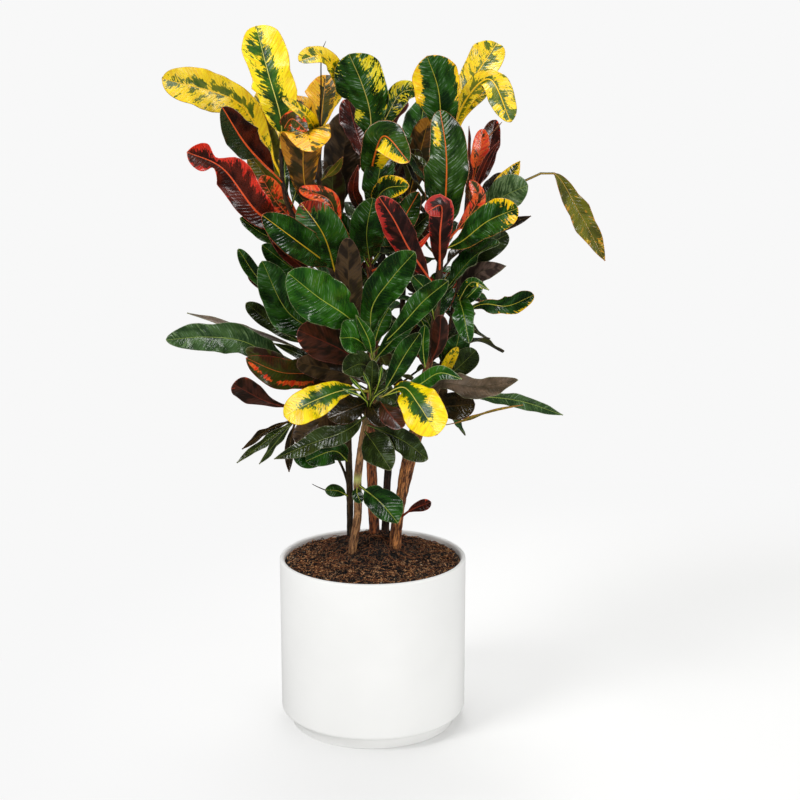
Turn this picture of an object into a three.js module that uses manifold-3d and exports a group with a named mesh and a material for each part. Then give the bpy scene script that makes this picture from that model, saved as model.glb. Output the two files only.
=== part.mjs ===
import * as THREE from 'three';
import { mergeVertices } from 'three/addons/utils/BufferGeometryUtils.js';
import Module from 'manifold-3d';

const wasm = await Module();
wasm.setup();

// A croton in a straight white pot, in millimetres, +Z up. The origin is the middle of the pot's underside.

// The pot: a straight cylinder with a rounded lip and a set-back foot, in one casting of even thickness.
const POT_RADIUS = 110;
const POT_HEIGHT = 202;
const POT_WALL = 5.5;
const POT_FLOOR = 7;
const POT_SIDES = 44;
const LIP_RADIUS = POT_WALL / 2;
const FOOT_RADIUS = 98;
const FOOT_HEIGHT = 14;
const LOWER_EDGE_RADIUS = 6;
const SHELF_HEIGHT = FOOT_HEIGHT + LOWER_EDGE_RADIUS;

// The soil: level at the wall and heaped round the stems.
const SOIL_LEVEL = POT_HEIGHT - 8;
const SOIL_SIDES = 32;
const SOIL_RINGS = 5;
const MOUND = { x: 2, y: 22, height: 26, spread: 52 };
const GAP = 0.35;

// A leaf is a thin blade on a round stalk.
const BLADE_THICKNESS = 0.9;
const STALK_THICKNESS = 2.4;
const STALK_WIDTH = 2.8;
const TIP_WIDTH = 1.6;
const WAVE_LENGTH = 56;
const WAVE_DEPTH = 0.13;
const SEEN_PHASE = 2.4;

// Shares of the blade over which its waves grow in, over which the stalk thins out into it, and of the
// leaf between which its further turn fades.
const WAVE_FADE = 0.25;
const STALK_FADE = 1 / 6;
const TURN_FADE = { from: 0.25, to: 0.7 };
const LEAST_LIFT = 0.6;
const CARRY_STEPS = 64;

// Sections of a leaf: one at about each step along the stalk and the blade, crowding towards the tip.
const STATIONS = { stalkStep: 45, bladeStep: 28, least: 3, seen: 6, hidden: 4, crowding: 1.4 };

// Stems are round, with a ring at about every step of their length.
const STEM_SIDES = 7;
const STEM_STEP = 44;
const BRANCH_STEPS = 160;

// Outlines of a blade: its width grows as u^rise and closes as (1 - u^end)^round, from base to tip.
const FORMS = {
  spoon: { rise: 0.8, end: 3.4, round: 0.5, waist: 0 },
  oval: { rise: 0.62, end: 2.2, round: 0.55, waist: 0 },
  lance: { rise: 0.75, end: 1.5, round: 0.9, waist: 0 },
  strap: { rise: 0.45, end: 4, round: 0.5, waist: 0 },
  waist: { rise: 0.55, end: 3.6, round: 0.5, waist: 0.62 },
};
const WAIST_AT = 0.76;
const WAIST_SPAN = 0.075;

// Room that blades keep to each other, and how far a tip may bend back or forth to find it.
const CLEAR_THICKNESS = 3.2;
const CLEAR_EDGE = 1;
const CLEAR_STEM = 1.2;
const BENDS = [0, 7, -7, 14, -14, 21, -21, 28, -28, 36, -36, 44, -44, 54, -54, 64, -64];
const OWN_STEM_REACH = 0.34;

// The view that the places below are read in by eye, 800 by 800, from an eye in front of the plant that
// looks down a little. Each place is [column, row, depth]: depth is the true distance behind the pot's axis.
const EYE = new THREE.Vector3(32.3, -1700, 747);
const PITCH = THREE.MathUtils.degToRad(11.87);
const FOCAL = 1497;
const VIEW_MIDDLE = 400;
const VIEW_FACING = new THREE.Vector3(0, -1, 0.25).normalize();
const ACROSS = new THREE.Vector3(1, 0, 0);
const FORWARD = new THREE.Vector3(0, Math.cos(PITCH), -Math.sin(PITCH));
const UPWARD = new THREE.Vector3(0, Math.sin(PITCH), Math.cos(PITCH));

function seen([column, row, depth]) {
  const sight = FORWARD.clone()
    .addScaledVector(ACROSS, (column - VIEW_MIDDLE) / FOCAL)
    .addScaledVector(UPWARD, (VIEW_MIDDLE - row) / FOCAL);
  return EYE.clone().addScaledVector(sight, (depth - EYE.y) / sight.y);
}

// The place of a point in that view, so that seen() gives the point back.
function placeOf(point) {
  const away = point.clone().sub(EYE);
  const reach = away.dot(FORWARD);
  return [
    VIEW_MIDDLE + (FOCAL * away.x) / reach,
    VIEW_MIDDLE - (FOCAL * away.dot(UPWARD)) / reach,
    point.y,
  ];
}

// Woody branches, root end first, with their radii at the start, the middle and the end.
const BRANCHES = {
  left: {
    node: 'stem_left', root: true,
    radii: [3.4, 4.8, 2.4],
    through: [
      [350, 583, 50], [350, 527, 50], [350, 503, 46], [349, 468, 40],
      [347, 420, 30], [346, 360, 18], [344, 315, 5], [336, 275, -5],
      [324, 225, -10], [319, 170, -5], [320, 131, 0],
    ],
  },
  leftTop: {
    node: 'stem_left',
    radii: [3.2, 2.6, 2.0],
    through: [
      [338, 283, -4], [316, 242, -22], [298, 222, -30], [288, 205, -34],
      [282, 176, -36], [281, 150, -36], [281, 133, -38],
    ],
  },
  leftTwig: {
    node: 'stem_left',
    radii: [2.4, 2.0, 1.6],
    through: [
      [347, 436, 33], [325, 427, 10], [303, 421, -10], [288, 417, -20],
    ],
  },
  leftShoot: {
    node: 'stem_left',
    radii: [1.8, 1.6, 1.4],
    through: [
      [349.5, 498, 46], [346, 477, 42], [337, 457, 36], [330, 449, 30],
    ],
  },
  front: {
    node: 'stem_front', root: true,
    radii: [5.0, 4.6, 2.8],
    through: [
      [349, 599, -10], [352, 553, -12], [357.5, 518, -14], [358, 501, -16],
      [357.5, 482, -18], [359.6, 461, -22], [364, 430, -30], [371, 400, -36],
      [373, 370, -40], [372, 345, -42],
    ],
  },
  frontShoot: {
    node: 'stem_front',
    radii: [3.4, 3.0, 2.6],
    through: [
      [366, 424, -31], [374, 408, -44], [382, 395, -56],
    ],
  },
  centre: {
    node: 'stem_centre', root: true,
    radii: [6.6, 5.6, 2.4],
    through: [
      [374, 589, 25], [374.5, 535, 25], [373, 500, 24], [371.5, 461, 22],
      [371, 420, 20], [372, 380, 20], [374, 330, 22], [372, 290, 24],
      [369, 250, 24], [370, 200, 20], [371, 165, 16], [371, 140, 14],
    ],
  },
  right: {
    node: 'stem_right', root: true,
    radii: [7.6, 5.0, 2.4],
    through: [
      [393, 596, 0], [395, 548, 0], [398, 515, 0], [402, 492, 1],
      [405, 470, -2], [412, 440, -10], [424, 385, -18], [434, 330, -22],
      [439, 280, -24], [441, 230, -24], [443, 190, -22], [445, 160, -20],
    ],
  },
  rightOuter: {
    node: 'stem_right',
    radii: [6.4, 4.4, 2.4],
    through: [
      [400, 503, 1], [409, 468, 12], [420, 430, 22], [437, 385, 30],
      [449, 340, 32], [457, 290, 30], [462, 250, 26], [469, 205, 20],
      [471, 180, 18],
    ],
  },
  back: {
    node: 'stem_back', root: true,
    radii: [5.0, 4.0, 2.4],
    through: [
      [384, 584, 40], [385, 541, 40], [386, 510, 44], [387.7, 475, 48],
      [392, 430, 56], [398, 380, 64], [402, 320, 72], [404, 260, 76],
      [405, 210, 78], [406, 175, 78],
    ],
  },
  backLimb: {
    node: 'stem_back',
    radii: [3.2, 2.8, 2.2],
    through: [
      [396, 400, 61], [370, 350, 85], [347, 300, 100], [338, 250, 104],
      [337, 215, 104],
    ],
  },
};

// Leaves that the eye sees: l in the left half and middle, r in the right half, numbered from the top.
// Each has its branch, the row where it leaves that branch, places on the midrib from there to the tip,
// width, how far the upper side is turned from the eye in degrees, further turn at the base, fold along the
// midrib in degrees, outline, and the share of the length that is stalk.
const LEAVES = {
  l1: ['leftTop', 178, [[263, 143, -30], [240, 109, -44], [162, 85, -95]], 43, 0, 0, 14, 'spoon', 0.1],
  l2: ['leftTop', 150, [[281, 120, -52], [269, 76, -58], [256, 26, -38]], 54, 0, 0, 8, 'strap', 0.16],
  l9: ['leftTop', 184, [[247, 146, -68], [222, 107, -104]], 40, 10, 0, 26, 'oval', 0.14],
  l11: ['leftTop', 225, [[262, 216, -66], [222, 168, -92], [187, 152, -124]], 52, 0, 0, 18, 'waist', 0.12],
  l12: ['left', 268, [[297, 241, -92], [262, 215, -126]], 38, 0, 0, 14, 'oval', 0.12],
  l13: ['left', 276, [[322, 232, -72], [301, 203, -86]], 52, 0, 0, 16, 'oval', 0.12],
  l3: ['left', 140, [[305, 110, -34], [282, 97, -70]], 26, 50, 0, 30, 'oval', 0.14],
  l4: ['left', 133, [[340, 86, -8], [324, 53, -42], [299, 55, -76]], 18, 10, 0, 14, 'strap', 0.22],
  l5: ['left', 135, [[323, 103, 18], [326, 75, 34]], 42, 0, 0, 16, 'oval', 0.1],
  l6: ['left', 225, [[306, 190, -12], [303, 150, -18], [306, 131, -38], [312, 152, -60]],
    54, 180, 0, 10, 'spoon', 0.12],
  l7: ['backLimb', 225, [[342, 165, 84], [350, 111, 78]], 44, 180, 0, 10, 'spoon', 0.12],
  l7b: ['backLimb', 235, [[333, 195, 70], [333, 165, 60]], 30, 180, 0, 10, 'oval', 0.15],
  l7c: ['left', 180, [[334, 170, -12], [343, 157, -20]], 10, 30, 0, 10, 'lance', 0.2],
  l8: ['centre', 152, [[370, 112, 0], [362, 84, -14], [349, 54, -32]], 58, -8, 0, 12, 'spoon', 0.1],
  l15: ['centre', 222, [[353, 190, -24], [358, 165, -30]], 15, 20, 0, 16, 'lance', 0.15],
  l16: ['centre', 190, [[374, 158, -30], [384, 136, -56], [409, 162, -92]], 38, 180, 0, 14, 'oval', 0.12],
  l16b: ['centre', 207, [[388, 188, -48], [409, 186, -76]], 26, 10, 0, 10, 'oval', 0.16],
  l16c: ['centre', 214, [[378, 180, -22], [383, 150, -18]], 34, 0, 0, 14, 'oval', 0.14],
  l14: ['left', 268, [[335, 235, -30], [330, 201, -42], [299, 189, -50]], 20, 10, 0, 14, 'strap', 0.35],
  r1: ['right', 165, [[441, 118, -32], [438, 88, -44], [427, 56, -62]], 52, 0, 0, 12, 'spoon', 0.16],
  r6: ['right', 242, [[446, 190, -48], [446, 150, -54], [440, 110, -46]], 50, 0, 0, 18, 'oval', 0.1],
  r2: ['right', 170, [[456, 108, -10], [474, 78, 8], [497, 43, 44]], 38, 0, 0, 12, 'spoon', 0.2],
  r3: ['right', 174, [[463, 105, -26], [488, 79, -46], [511, 122, -92]], 24, 0, 0, 14, 'strap', 0.26],
  r4: ['right', 178, [[458, 116, 4], [470, 102, 8], [487, 93, 14]], 18, 0, 0, 10, 'oval', 0.3],
  r5: ['centre', 160, [[386, 118, 14], [403, 92, 16], [421, 90, 18]], 26, 0, 0, 12, 'oval', 0.3],
  r7: ['back', 215, [[417, 165, 50], [429, 118, 40]], 33, 180, 0, 12, 'spoon', 0.12],
  r9: ['rightOuter', 192, [[479, 155, 18], [483, 129, 30]], 21, 10, 0, 14, 'oval', 0.12],
  r10: ['rightOuter', 255, [[467, 180, -8], [469, 126, -22]], 22, 76, 0, 14, 'lance', 0.1],
  r11: ['rightOuter', 205, [[487, 160, 8], [499, 141, 12]], 10, 20, 0, 10, 'lance', 0.12],
  r12: ['right', 248, [[470, 214, -34], [478, 197, -36], [470, 180, -38]], 18, 20, 0, 12, 'oval', 0.3],
  r13: ['right', 272, [[440, 235, -70], [441, 206, -84], [427, 212, -104]], 27, 180, 0, 12, 'strap', 0.12],
  r13b: ['centre', 272, [[400, 258, -34], [418, 247, -58], [434, 229, -66]], 8, 10, 0, 10, 'lance', 0.3],
  r14: ['right', 292, [[408, 247, -72], [394, 220, -90], [379, 197, -106]], 32, 180, 0, 12, 'oval', 0.18],
  r15: ['right', 252, [[462, 241, -58], [488, 221, -86], [518, 208, -112]], 36, 0, 0, 12, 'spoon', 0.12],
  r16: ['rightOuter', 234, [[498, 200, -4], [528, 185, -22]], 40, -12, 0, 12, 'spoon', 0.12],
  r16b: ['rightOuter', 228, [[498, 193, 34], [520, 161, 50]], 24, 0, 0, 10, 'lance', 0.2],
  r17: ['rightOuter', 216, [[503, 197, 12], [530, 178, 2], [553, 173, -10], [580, 214, -26], [605, 261, -38]],
    27, 10, 0, 14, 'lance', 0.5],
  r18: ['rightOuter', 276, [[480, 250, 4], [508, 234, 12]], 34, 0, 0, 12, 'oval', 0.12],
  r19: ['rightOuter', 258, [[490, 232, 28], [531, 216, 40]], 14, 10, 0, 10, 'lance', 0.2],
  r20: ['rightOuter', 302, [[478, 273, -24], [506, 266, -52]], 24, 180, 0, 14, 'lance', 0.14],
  r20b: ['rightOuter', 308, [[474, 282, -34], [489, 290, -46]], 14, 20, 0, 10, 'lance', 0.2],
  r21: ['rightOuter', 306, [[470, 295, 20], [483, 281, 30]], 18, 0, 0, 10, 'lance', 0.2],
  r22: ['rightOuter', 293, [[463, 312, -12], [469, 343, -32]], 27, 0, 0, 14, 'oval', 0.12],
  r23: ['rightOuter', 314, [[484, 303, 16], [507, 304, 24], [534, 292, 22]], 24, 0, 60, 14, 'strap', 0.22],
  r24: ['front', 354, [[398, 330, -70], [424, 302, -100], [448, 283, -130]], 33, 0, 0, 14, 'oval', 0.12],
  r25: ['front', 347, [[372, 308, -66], [392, 278, -90], [415, 252, -116]], 40, 0, 0, 14, 'oval', 0.12],
  r26: ['right', 368, [[438, 345, -36], [441, 315, -42]], 20, 180, 0, 14, 'oval', 0.2],
  r27: ['rightOuter', 372, [[455, 350, 8], [461, 327, 12]], 30, 0, 0, 10, 'oval', 0.15],
  r27b: ['rightOuter', 380, [[450, 360, -8], [458, 347, -12]], 14, 0, 0, 10, 'oval', 0.2],
  r28: ['rightOuter', 384, [[462, 364, 2], [476, 350, 0]], 28, 0, 0, 10, 'spoon', 0.15],
  r29: ['right', 412, [[440, 384, -46], [478, 385, -76], [518, 377, -106]], 28, -30, 0, 26, 'oval', 0.16],
  r30: ['rightOuter', 402, [[480, 397, 2], [520, 401, -10], [563, 415, -22]],
    18, 30, 0, 12, 'lance', 0.35],
  r30b: ['rightOuter', 430, [[455, 423, 8], [470, 418, 0], [495, 410, -8], [523, 405, -14]],
    8, 20, 0, 10, 'lance', 0.3],
  r31: ['frontShoot', 398, [[404, 386, -90], [420, 402, -124], [439, 431, -150]],
    50, 0, 0, 8, 'spoon', 0.2],
  r32: ['right', 424, [[436, 407, -38], [452, 406, -52], [475, 404, -70]], 32, 0, 0, 10, 'spoon', 0.2],
  r33: ['frontShoot', 397, [[418, 385, -72], [440, 373, -90], [462, 379, -106]],
    19, 0, 0, 12, 'lance', 0.2],
  r34: ['frontShoot', 398, [[392, 378, -58], [405, 355, -64], [420, 333, -76]],
    25, 0, 0, 14, 'oval', 0.15],
  r35: ['right', 374, [[423, 345, -32], [425, 325, -38]], 15, 0, 0, 10, 'oval', 0.2],
  r36a: ['front', 430, [[376, 447, -68], [391, 470, -100]], 40, 0, 0, 10, 'oval', 0.14],
  r36b: ['front', 424, [[402, 440, -76], [428, 459, -114]], 30, 20, 0, 16, 'oval', 0.14],
  r37: ['front', 354, [[357, 336, -86], [343, 333, -116]], 40, 0, 0, 10, 'spoon', 0.12],
  r38: ['front', 370, [[360, 364, -80], [343, 372, -110]], 30, 0, 0, 12, 'oval', 0.14],
  r39: ['front', 351, [[352, 321, -76], [318, 297, -116], [288, 273, -146]], 56, 0, 0, 12, 'oval', 0.2],
  r40: ['left', 348, [[325, 336, -16], [288, 312, -50], [262, 261, -76]], 43, 0, 0, 14, 'oval', 0.18],
  r41: ['left', 318, [[300, 305, 20], [262, 282, 18], [238, 249, 10]], 17, 0, 0, 12, 'oval', 0.55],
  r42: ['left', 324, [[300, 312, 30], [248, 276, 22]], 10, 0, 0, 10, 'oval', 0.7],
  r43: ['left', 356, [[290, 337, 10], [270, 322, 0], [246, 303, -20]], 20, 0, 0, 12, 'spoon', 0.35],
  r44: ['left', 394, [[318, 386, 8], [288, 368, -14], [245, 342, -40], [205, 337, -62], [166, 340, -86]],
    35, 0, 60, 12, 'oval', 0.24],
  r46: ['left', 374, [[320, 361, 16], [290, 345, 20], [240, 328, 26], [187, 313, 32]],
    12, 40, 0, 10, 'lance', 0.35],
  r47: ['left', 390, [[317, 375, -20], [280, 372, -60], [246, 358, -90]], 40, -10, 0, 28, 'oval', 0.16],
  r48: ['left', 412, [[318, 407, 10], [275, 401, -20], [235, 380, -46]], 28, 160, 0, 12, 'spoon', 0.44],
  r49: ['front', 392, [[347, 388, -74], [315, 397, -114], [284, 411, -144]], 38, 0, 0, 8, 'spoon', 0.2],
  r50: ['front', 406, [[340, 408, -52], [318, 424, -76], [295, 442, -96]], 34, 180, 0, 12, 'oval', 0.18],
  r51a: ['leftTwig', 419, [[268, 430, -34], [242, 449, -56]], 10, 10, 0, 10, 'lance', 0.14],
  r51b: ['leftTwig', 419, [[265, 442, -54], [237, 463, -84]], 11, 10, 0, 10, 'lance', 0.14],
  r51c: ['leftTwig', 419, [[278, 440, -8], [259, 464, 0]], 11, 10, 0, 10, 'lance', 0.14],
  r51d: ['leftTwig', 419, [[290, 445, -16], [289, 472, -26]], 12, 10, 0, 10, 'lance', 0.14],
  r52: ['front', 414, [[345, 431, -80], [310, 444, -106], [274, 459, -130]], 27, 0, 0, 14, 'lance', 0.12],
  r52b: ['leftShoot', 450, [[318, 456, 16], [293, 456, 2]], 28, 0, 0, 10, 'oval', 0.1],
  r55: ['left', 497, [[338, 491, 34], [325, 490, 22]], 16, 0, 0, 12, 'oval', 0.2],
  r55b: ['front', 485, [[357, 493, -30], [361, 503, -36]], 13, 0, 0, 10, 'oval', 0.2],
  r55c: ['front', 484, [[381, 503, -52], [398, 523, -66]], 36, 0, 0, 12, 'oval', 0.2],
  r55d: ['right', 520, [[411, 510, -12], [431, 502, -24]], 14, 0, 0, 12, 'spoon', 0.35],
  r56: ['centre', 264, [[367, 228, -44], [373, 198, -52]], 40, 0, 0, 14, 'oval', 0.12],
  r57: ['front', 348, [[354, 322, -66], [349, 285, -98], [348, 238, -122]], 30, 180, 0, 14, 'oval', 0.16],
  r58: ['left', 302, [[305, 278, -34], [262, 245, -60]], 28, 0, 0, 12, 'oval', 0.2],
  r59: ['leftTop', 240, [[270, 237, -56], [240, 218, -76]], 18, 20, 0, 12, 'oval', 0.2],
  r60: ['left', 298, [[285, 252, -62], [263, 222, -86]], 14, 0, 0, 12, 'lance', 0.3],
  r62: ['centre', 270, [[350, 235, -12], [323, 212, -22]], 27, 0, 0, 12, 'oval', 0.3],
  r63: ['centre', 266, [[398, 225, -12], [413, 197, -18]], 28, 0, 0, 12, 'oval', 0.2],
  r64: ['back', 262, [[420, 235, 30], [428, 212, 20]], 18, 180, 0, 12, 'oval', 0.3],
  r65: ['front', 374, [[345, 352, -60], [298, 330, -90]], 42, 180, 0, 12, 'oval', 0.14],
  r66: ['front', 386, [[335, 371, -54], [297, 362, -80]], 28, 180, 0, 12, 'oval', 0.14],
  r67: ['left', 382, [[315, 362, -8], [273, 343, -30]], 12, 20, 0, 12, 'lance', 0.25],
  r68: ['right', 322, [[427, 292, -46], [413, 276, -60]], 22, 0, 0, 12, 'oval', 0.2],
  r69: ['front', 350, [[380, 325, -56], [389, 308, -68]], 22, 0, 0, 12, 'oval', 0.2],
  r70: ['front', 362, [[388, 345, -60], [412, 320, -78]], 20, 0, 0, 12, 'oval', 0.14],
  r71: ['frontShoot', 400, [[388, 412, -86], [402, 428, -106]], 24, 170, 0, 12, 'oval', 0.2],
};

// Leaves that curl over, so that what faces the eye at the tip is the other side than at the base.
const CURLED = ['l6', 'l16', 'r3', 'r13'];

// Leaves of the hidden side, by rule: they stand round the back of a branch, turn by turn.
// Each row: branch, lowest and highest height, how many, the middle and the span of their bearings in
// degrees, counted from +X towards +Y, and the length of the lowest and the highest leaf.
const HIDDEN = [
  ['back', 350, 460, 6, 80, 170, 125, 140],
  ['back', 475, 640, 8, 85, 150, 140, 115],
  ['backLimb', 440, 598, 7, 110, 150, 125, 115],
  ['left', 380, 530, 5, 120, 110, 120, 110],
  ['right', 430, 560, 4, 75, 90, 115, 110],
  ['rightOuter', 410, 530, 3, 60, 80, 105, 105],
  ['leftTop', 600, 664, 3, 105, 60, 105, 100],
  ['rightOuter', 570, 635, 2, 70, 60, 100, 95],
  ['centre', 610, 676, 4, 90, 100, 110, 100],
];

// The rule for a hidden leaf: lengths are shares of its own length, angles are in degrees, and a leaf rises
// the more the higher its base is above a level.
const BEARING_STEP = 137.5;
const SIZE = { least: 0.85, more: 0.3, step: 0.382 };
const SWAY = { start: 0.31, step: 0.618 };
const RISE = { level: 400, climb: 230, least: -0.3, most: 0.8, sway: 0.35 };
const MIDWAY = { out: 0.45, up: 0.22, rise: 0.35 };
const REACH = { out: 0.86, rise: 0.25 };
const HIDDEN_BLADE = { wide: 0.34, turn: 60, fold: 12, foldSway: 14, stalk: 0.14, lean: 0.5, spoonEvery: 3 };
const HIDDEN_PHASE = 1.7;

function curveThrough(points) {
  return new THREE.CatmullRomCurve3(points, false, 'centripetal');
}

const curves = {};
for (const [name, branch] of Object.entries(BRANCHES)) {
  curves[name] = curveThrough(branch.through.map(seen));
}

// The point of a branch's axis whose measure is nearest to a value.
function nearestOn(name, value, measure) {
  let best = null;
  for (let i = 0; i <= BRANCH_STEPS; i += 1) {
    const point = curves[name].getPointAt(i / BRANCH_STEPS);
    if (!best || Math.abs(measure(point) - value) < Math.abs(measure(best) - value)) {
      best = point;
    }
  }
  return best;
}

function atHeight(name, height) {
  return nearestOn(name, height, (point) => point.z);
}

function atRow(name, row) {
  return nearestOn(name, row, (point) => placeOf(point)[1]);
}

function widthShare(form, u) {
  const { rise, end, round, waist } = FORMS[form];
  const peak = rise / (rise + end * round);
  const top = peak ** (rise / end) * (1 - peak) ** round;
  const share = (u ** rise * (1 - u ** end) ** round) / top;
  return share * (1 - waist * Math.exp(-(((u - WAIST_AT) / WAIST_SPAN) ** 2)));
}

function smoothStep(t, low, high) {
  const s = THREE.MathUtils.clamp((t - low) / (high - low), 0, 1);
  return s * s * (3 - 2 * s);
}

// Where along the leaf the sections stand: a few on the stalk, the others closer towards the tip.
function stations(length, stalk, most) {
  const onStalk = Math.max(1, Math.round((stalk * length) / STATIONS.stalkStep));
  const onBlade = THREE.MathUtils.clamp(Math.round(length / STATIONS.bladeStep), STATIONS.least, most);
  const list = [];
  for (let i = 0; i < onStalk; i += 1) {
    list.push((stalk * i) / onStalk);
  }
  for (let i = 0; i <= onBlade; i += 1) {
    const u = 1 - (1 - i / onBlade) ** STATIONS.crowding;
    list.push(stalk + (1 - stalk) * u);
  }
  return list;
}

// The upper side's direction at the base, carried along the curve step by step without turning about it.
function carriedNormals(curve, facing) {
  let normal = facing.clone();
  const list = [];
  for (let i = 0; i <= CARRY_STEPS; i += 1) {
    const along = curve.getTangentAt(i / CARRY_STEPS);
    normal = normal.clone().addScaledVector(along, -normal.dot(along)).normalize();
    list.push(normal);
  }
  return list;
}

// The cross sections of a leaf whose tip is bent back by a distance in the line of sight.
function leafSections(leaf, bend) {
  const steps = leaf.through.length;
  const points = leaf.through.map(([column, row, depth], i) => (
    seen([column, row, depth + (bend * (i + 1)) / steps])));
  const curve = curveThrough([leaf.base, ...points]);
  const carried = leaf.curled ? carriedNormals(curve, leaf.facing) : null;
  const length = curve.getLength();
  const waves = Math.max(1, Math.round(length / WAVE_LENGTH));
  return stations(length, leaf.stalk, leaf.mustStay ? STATIONS.seen : STATIONS.hidden).map((t) => {
    const centre = curve.getPointAt(t);
    const along = curve.getTangentAt(t);
    const facing = carried ? carried[Math.floor(t * CARRY_STEPS)] : leaf.facing;
    const normal = facing.clone().addScaledVector(along, -facing.dot(along)).normalize();
    const angle = leaf.face + leaf.turn * (1 - smoothStep(t, TURN_FADE.from, TURN_FADE.to));
    normal.applyAxisAngle(along, THREE.MathUtils.degToRad(angle));
    const side = new THREE.Vector3().crossVectors(along, normal);
    const u = THREE.MathUtils.clamp((t - leaf.stalk) / (1 - leaf.stalk), 0, 1);
    const wide = Math.max(u < 0.5 ? STALK_WIDTH : TIP_WIDTH, leaf.wide * widthShare(leaf.form, u)) / 2;
    const fold = THREE.MathUtils.degToRad(leaf.fold);
    const edges = [-1, 1].map((hand) => {
      const swing = Math.sin(2 * Math.PI * waves * u + leaf.phase + hand);
      const wave = swing * WAVE_DEPTH * Math.min(1, u / WAVE_FADE);
      return centre.clone()
        .addScaledVector(side, hand * wide * Math.cos(fold))
        .addScaledVector(normal, wide * (Math.sin(fold) + wave));
    });
    const thick = THREE.MathUtils.lerp(STALK_THICKNESS, BLADE_THICKNESS, Math.min(1, u / STALK_FADE));
    return { t, centre, side, edges, thick };
  });
}

// How each corner of a sheet of points is lifted by half its thickness: along the mean of the triangles round
// it, and a little further where they fold, so that a turned or curled blade keeps its thickness.
function lifts(sheet, thicknesses) {
  const around = sheet.map((row) => row.map(() => []));
  const face = (...corners) => {
    const [a, b, c] = corners.map(([i, k]) => sheet[i][k]);
    const across = b.clone().sub(a).cross(c.clone().sub(a)).normalize();
    corners.forEach(([i, k]) => around[i][k].push(across));
  };
  for (let i = 0; i + 1 < sheet.length; i += 1) {
    for (const k of [0, 1]) {
      face([i, k], [i, k + 1], [i + 1, k + 1]);
      face([i, k], [i + 1, k + 1], [i + 1, k]);
    }
  }
  return around.map((row, i) => row.map((faces) => {
    const mean = faces.reduce((sum, across) => sum.add(across), new THREE.Vector3()).normalize();
    const least = Math.min(...faces.map((across) => across.dot(mean)));
    return mean.multiplyScalar(thicknesses[i] / 2 / Math.max(LEAST_LIFT, least));
  }));
}

// A closed slab over the sections, split into triangles alike on both faces.
function slab(sections, extraThickness, extraWidth) {
  const sheet = sections.map(({ centre, side, edges }) => [
    edges[0].clone().addScaledVector(side, -extraWidth),
    centre,
    edges[1].clone().addScaledVector(side, extraWidth),
  ]);
  const raised = lifts(sheet, sections.map(({ thick }) => thick + extraThickness));
  const positions = [];
  const index = [];
  const quad = (a, b, c, d) => index.push(a, b, c, a, c, d);
  sheet.forEach((row, i) => {
    row.forEach((point, k) => positions.push(...point.clone().add(raised[i][k]).toArray()));
    row.forEach((point, k) => positions.push(...point.clone().sub(raised[i][k]).toArray()));
  });
  for (let i = 0; i + 1 < sections.length; i += 1) {
    const a = 6 * i;
    const b = a + 6;
    for (const k of [0, 1]) {
      quad(a + k, a + k + 1, b + k + 1, b + k);
      quad(a + k + 3, b + k + 3, b + k + 4, a + k + 4);
    }
    quad(a + 3, a, b, b + 3);
    quad(a + 2, a + 5, b + 5, b + 2);
  }
  const last = 6 * (sections.length - 1);
  quad(0, 3, 4, 1);
  quad(1, 4, 5, 2);
  quad(last + 1, last + 4, last + 3, last);
  quad(last + 2, last + 5, last + 4, last + 1);
  return solidOf(positions, index);
}

// A tapering round branch along a curve.
function branchSolid(name, sides, extra) {
  const { radii } = BRANCHES[name];
  const curve = curves[name];
  const rings = Math.max(5, Math.round(curve.getLength() / STEM_STEP));
  const frames = curve.computeFrenetFrames(rings, false);
  const positions = [];
  const index = [];
  for (let i = 0; i <= rings; i += 1) {
    const t = i / rings;
    const radius = extra + (t < 0.5
      ? THREE.MathUtils.lerp(radii[0], radii[1], 2 * t)
      : THREE.MathUtils.lerp(radii[1], radii[2], 2 * t - 1));
    const end = i === 0 ? -extra : extra * (i === rings);
    const centre = curve.getPointAt(t).addScaledVector(frames.tangents[i], end);
    for (let j = 0; j < sides; j += 1) {
      const angle = (2 * Math.PI * j) / sides;
      const point = centre.clone()
        .addScaledVector(frames.normals[i], radius * Math.cos(angle))
        .addScaledVector(frames.binormals[i], radius * Math.sin(angle));
      positions.push(...point.toArray());
    }
  }
  for (let i = 0; i < rings; i += 1) {
    for (let j = 0; j < sides; j += 1) {
      const a = i * sides + j;
      const b = i * sides + ((j + 1) % sides);
      index.push(a, b, b + sides, a, b + sides, a + sides);
    }
  }
  for (let j = 1; j + 1 < sides; j += 1) {
    const top = rings * sides;
    index.push(0, j + 1, j, top, top + j, top + j + 1);
  }
  return solidOf(positions, index);
}

function solidOf(positions, index) {
  return new wasm.Manifold(new wasm.Mesh({
    numProp: 3,
    vertProperties: new Float32Array(positions),
    triVerts: new Uint32Array(index),
  }));
}

function solidFromGeometry(geometry) {
  geometry.deleteAttribute('normal');
  geometry.deleteAttribute('uv');
  const merged = mergeVertices(geometry, 1e-4);
  return solidOf(merged.attributes.position.array, merged.index.array);
}

function geometryOf(solid) {
  const mesh = solid.getMesh();
  const geometry = new THREE.BufferGeometry();
  geometry.setAttribute('position', new THREE.BufferAttribute(mesh.vertProperties, 3));
  geometry.setIndex(new THREE.BufferAttribute(mesh.triVerts, 1));
  geometry.computeVertexNormals();
  return geometry;
}

// A lathe round +Z, from points of radius and height.
function turned(points, sides) {
  const geometry = new THREE.LatheGeometry(points.map(([r, z]) => new THREE.Vector2(r, z)), sides);
  return geometry.rotateX(Math.PI / 2);
}

function arc(cx, cz, radius, from, to, steps) {
  const points = [];
  for (let i = 0; i <= steps; i += 1) {
    const angle = THREE.MathUtils.degToRad(from + ((to - from) * i) / steps);
    points.push([cx + radius * Math.cos(angle), cz + radius * Math.sin(angle)]);
  }
  return points;
}

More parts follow.
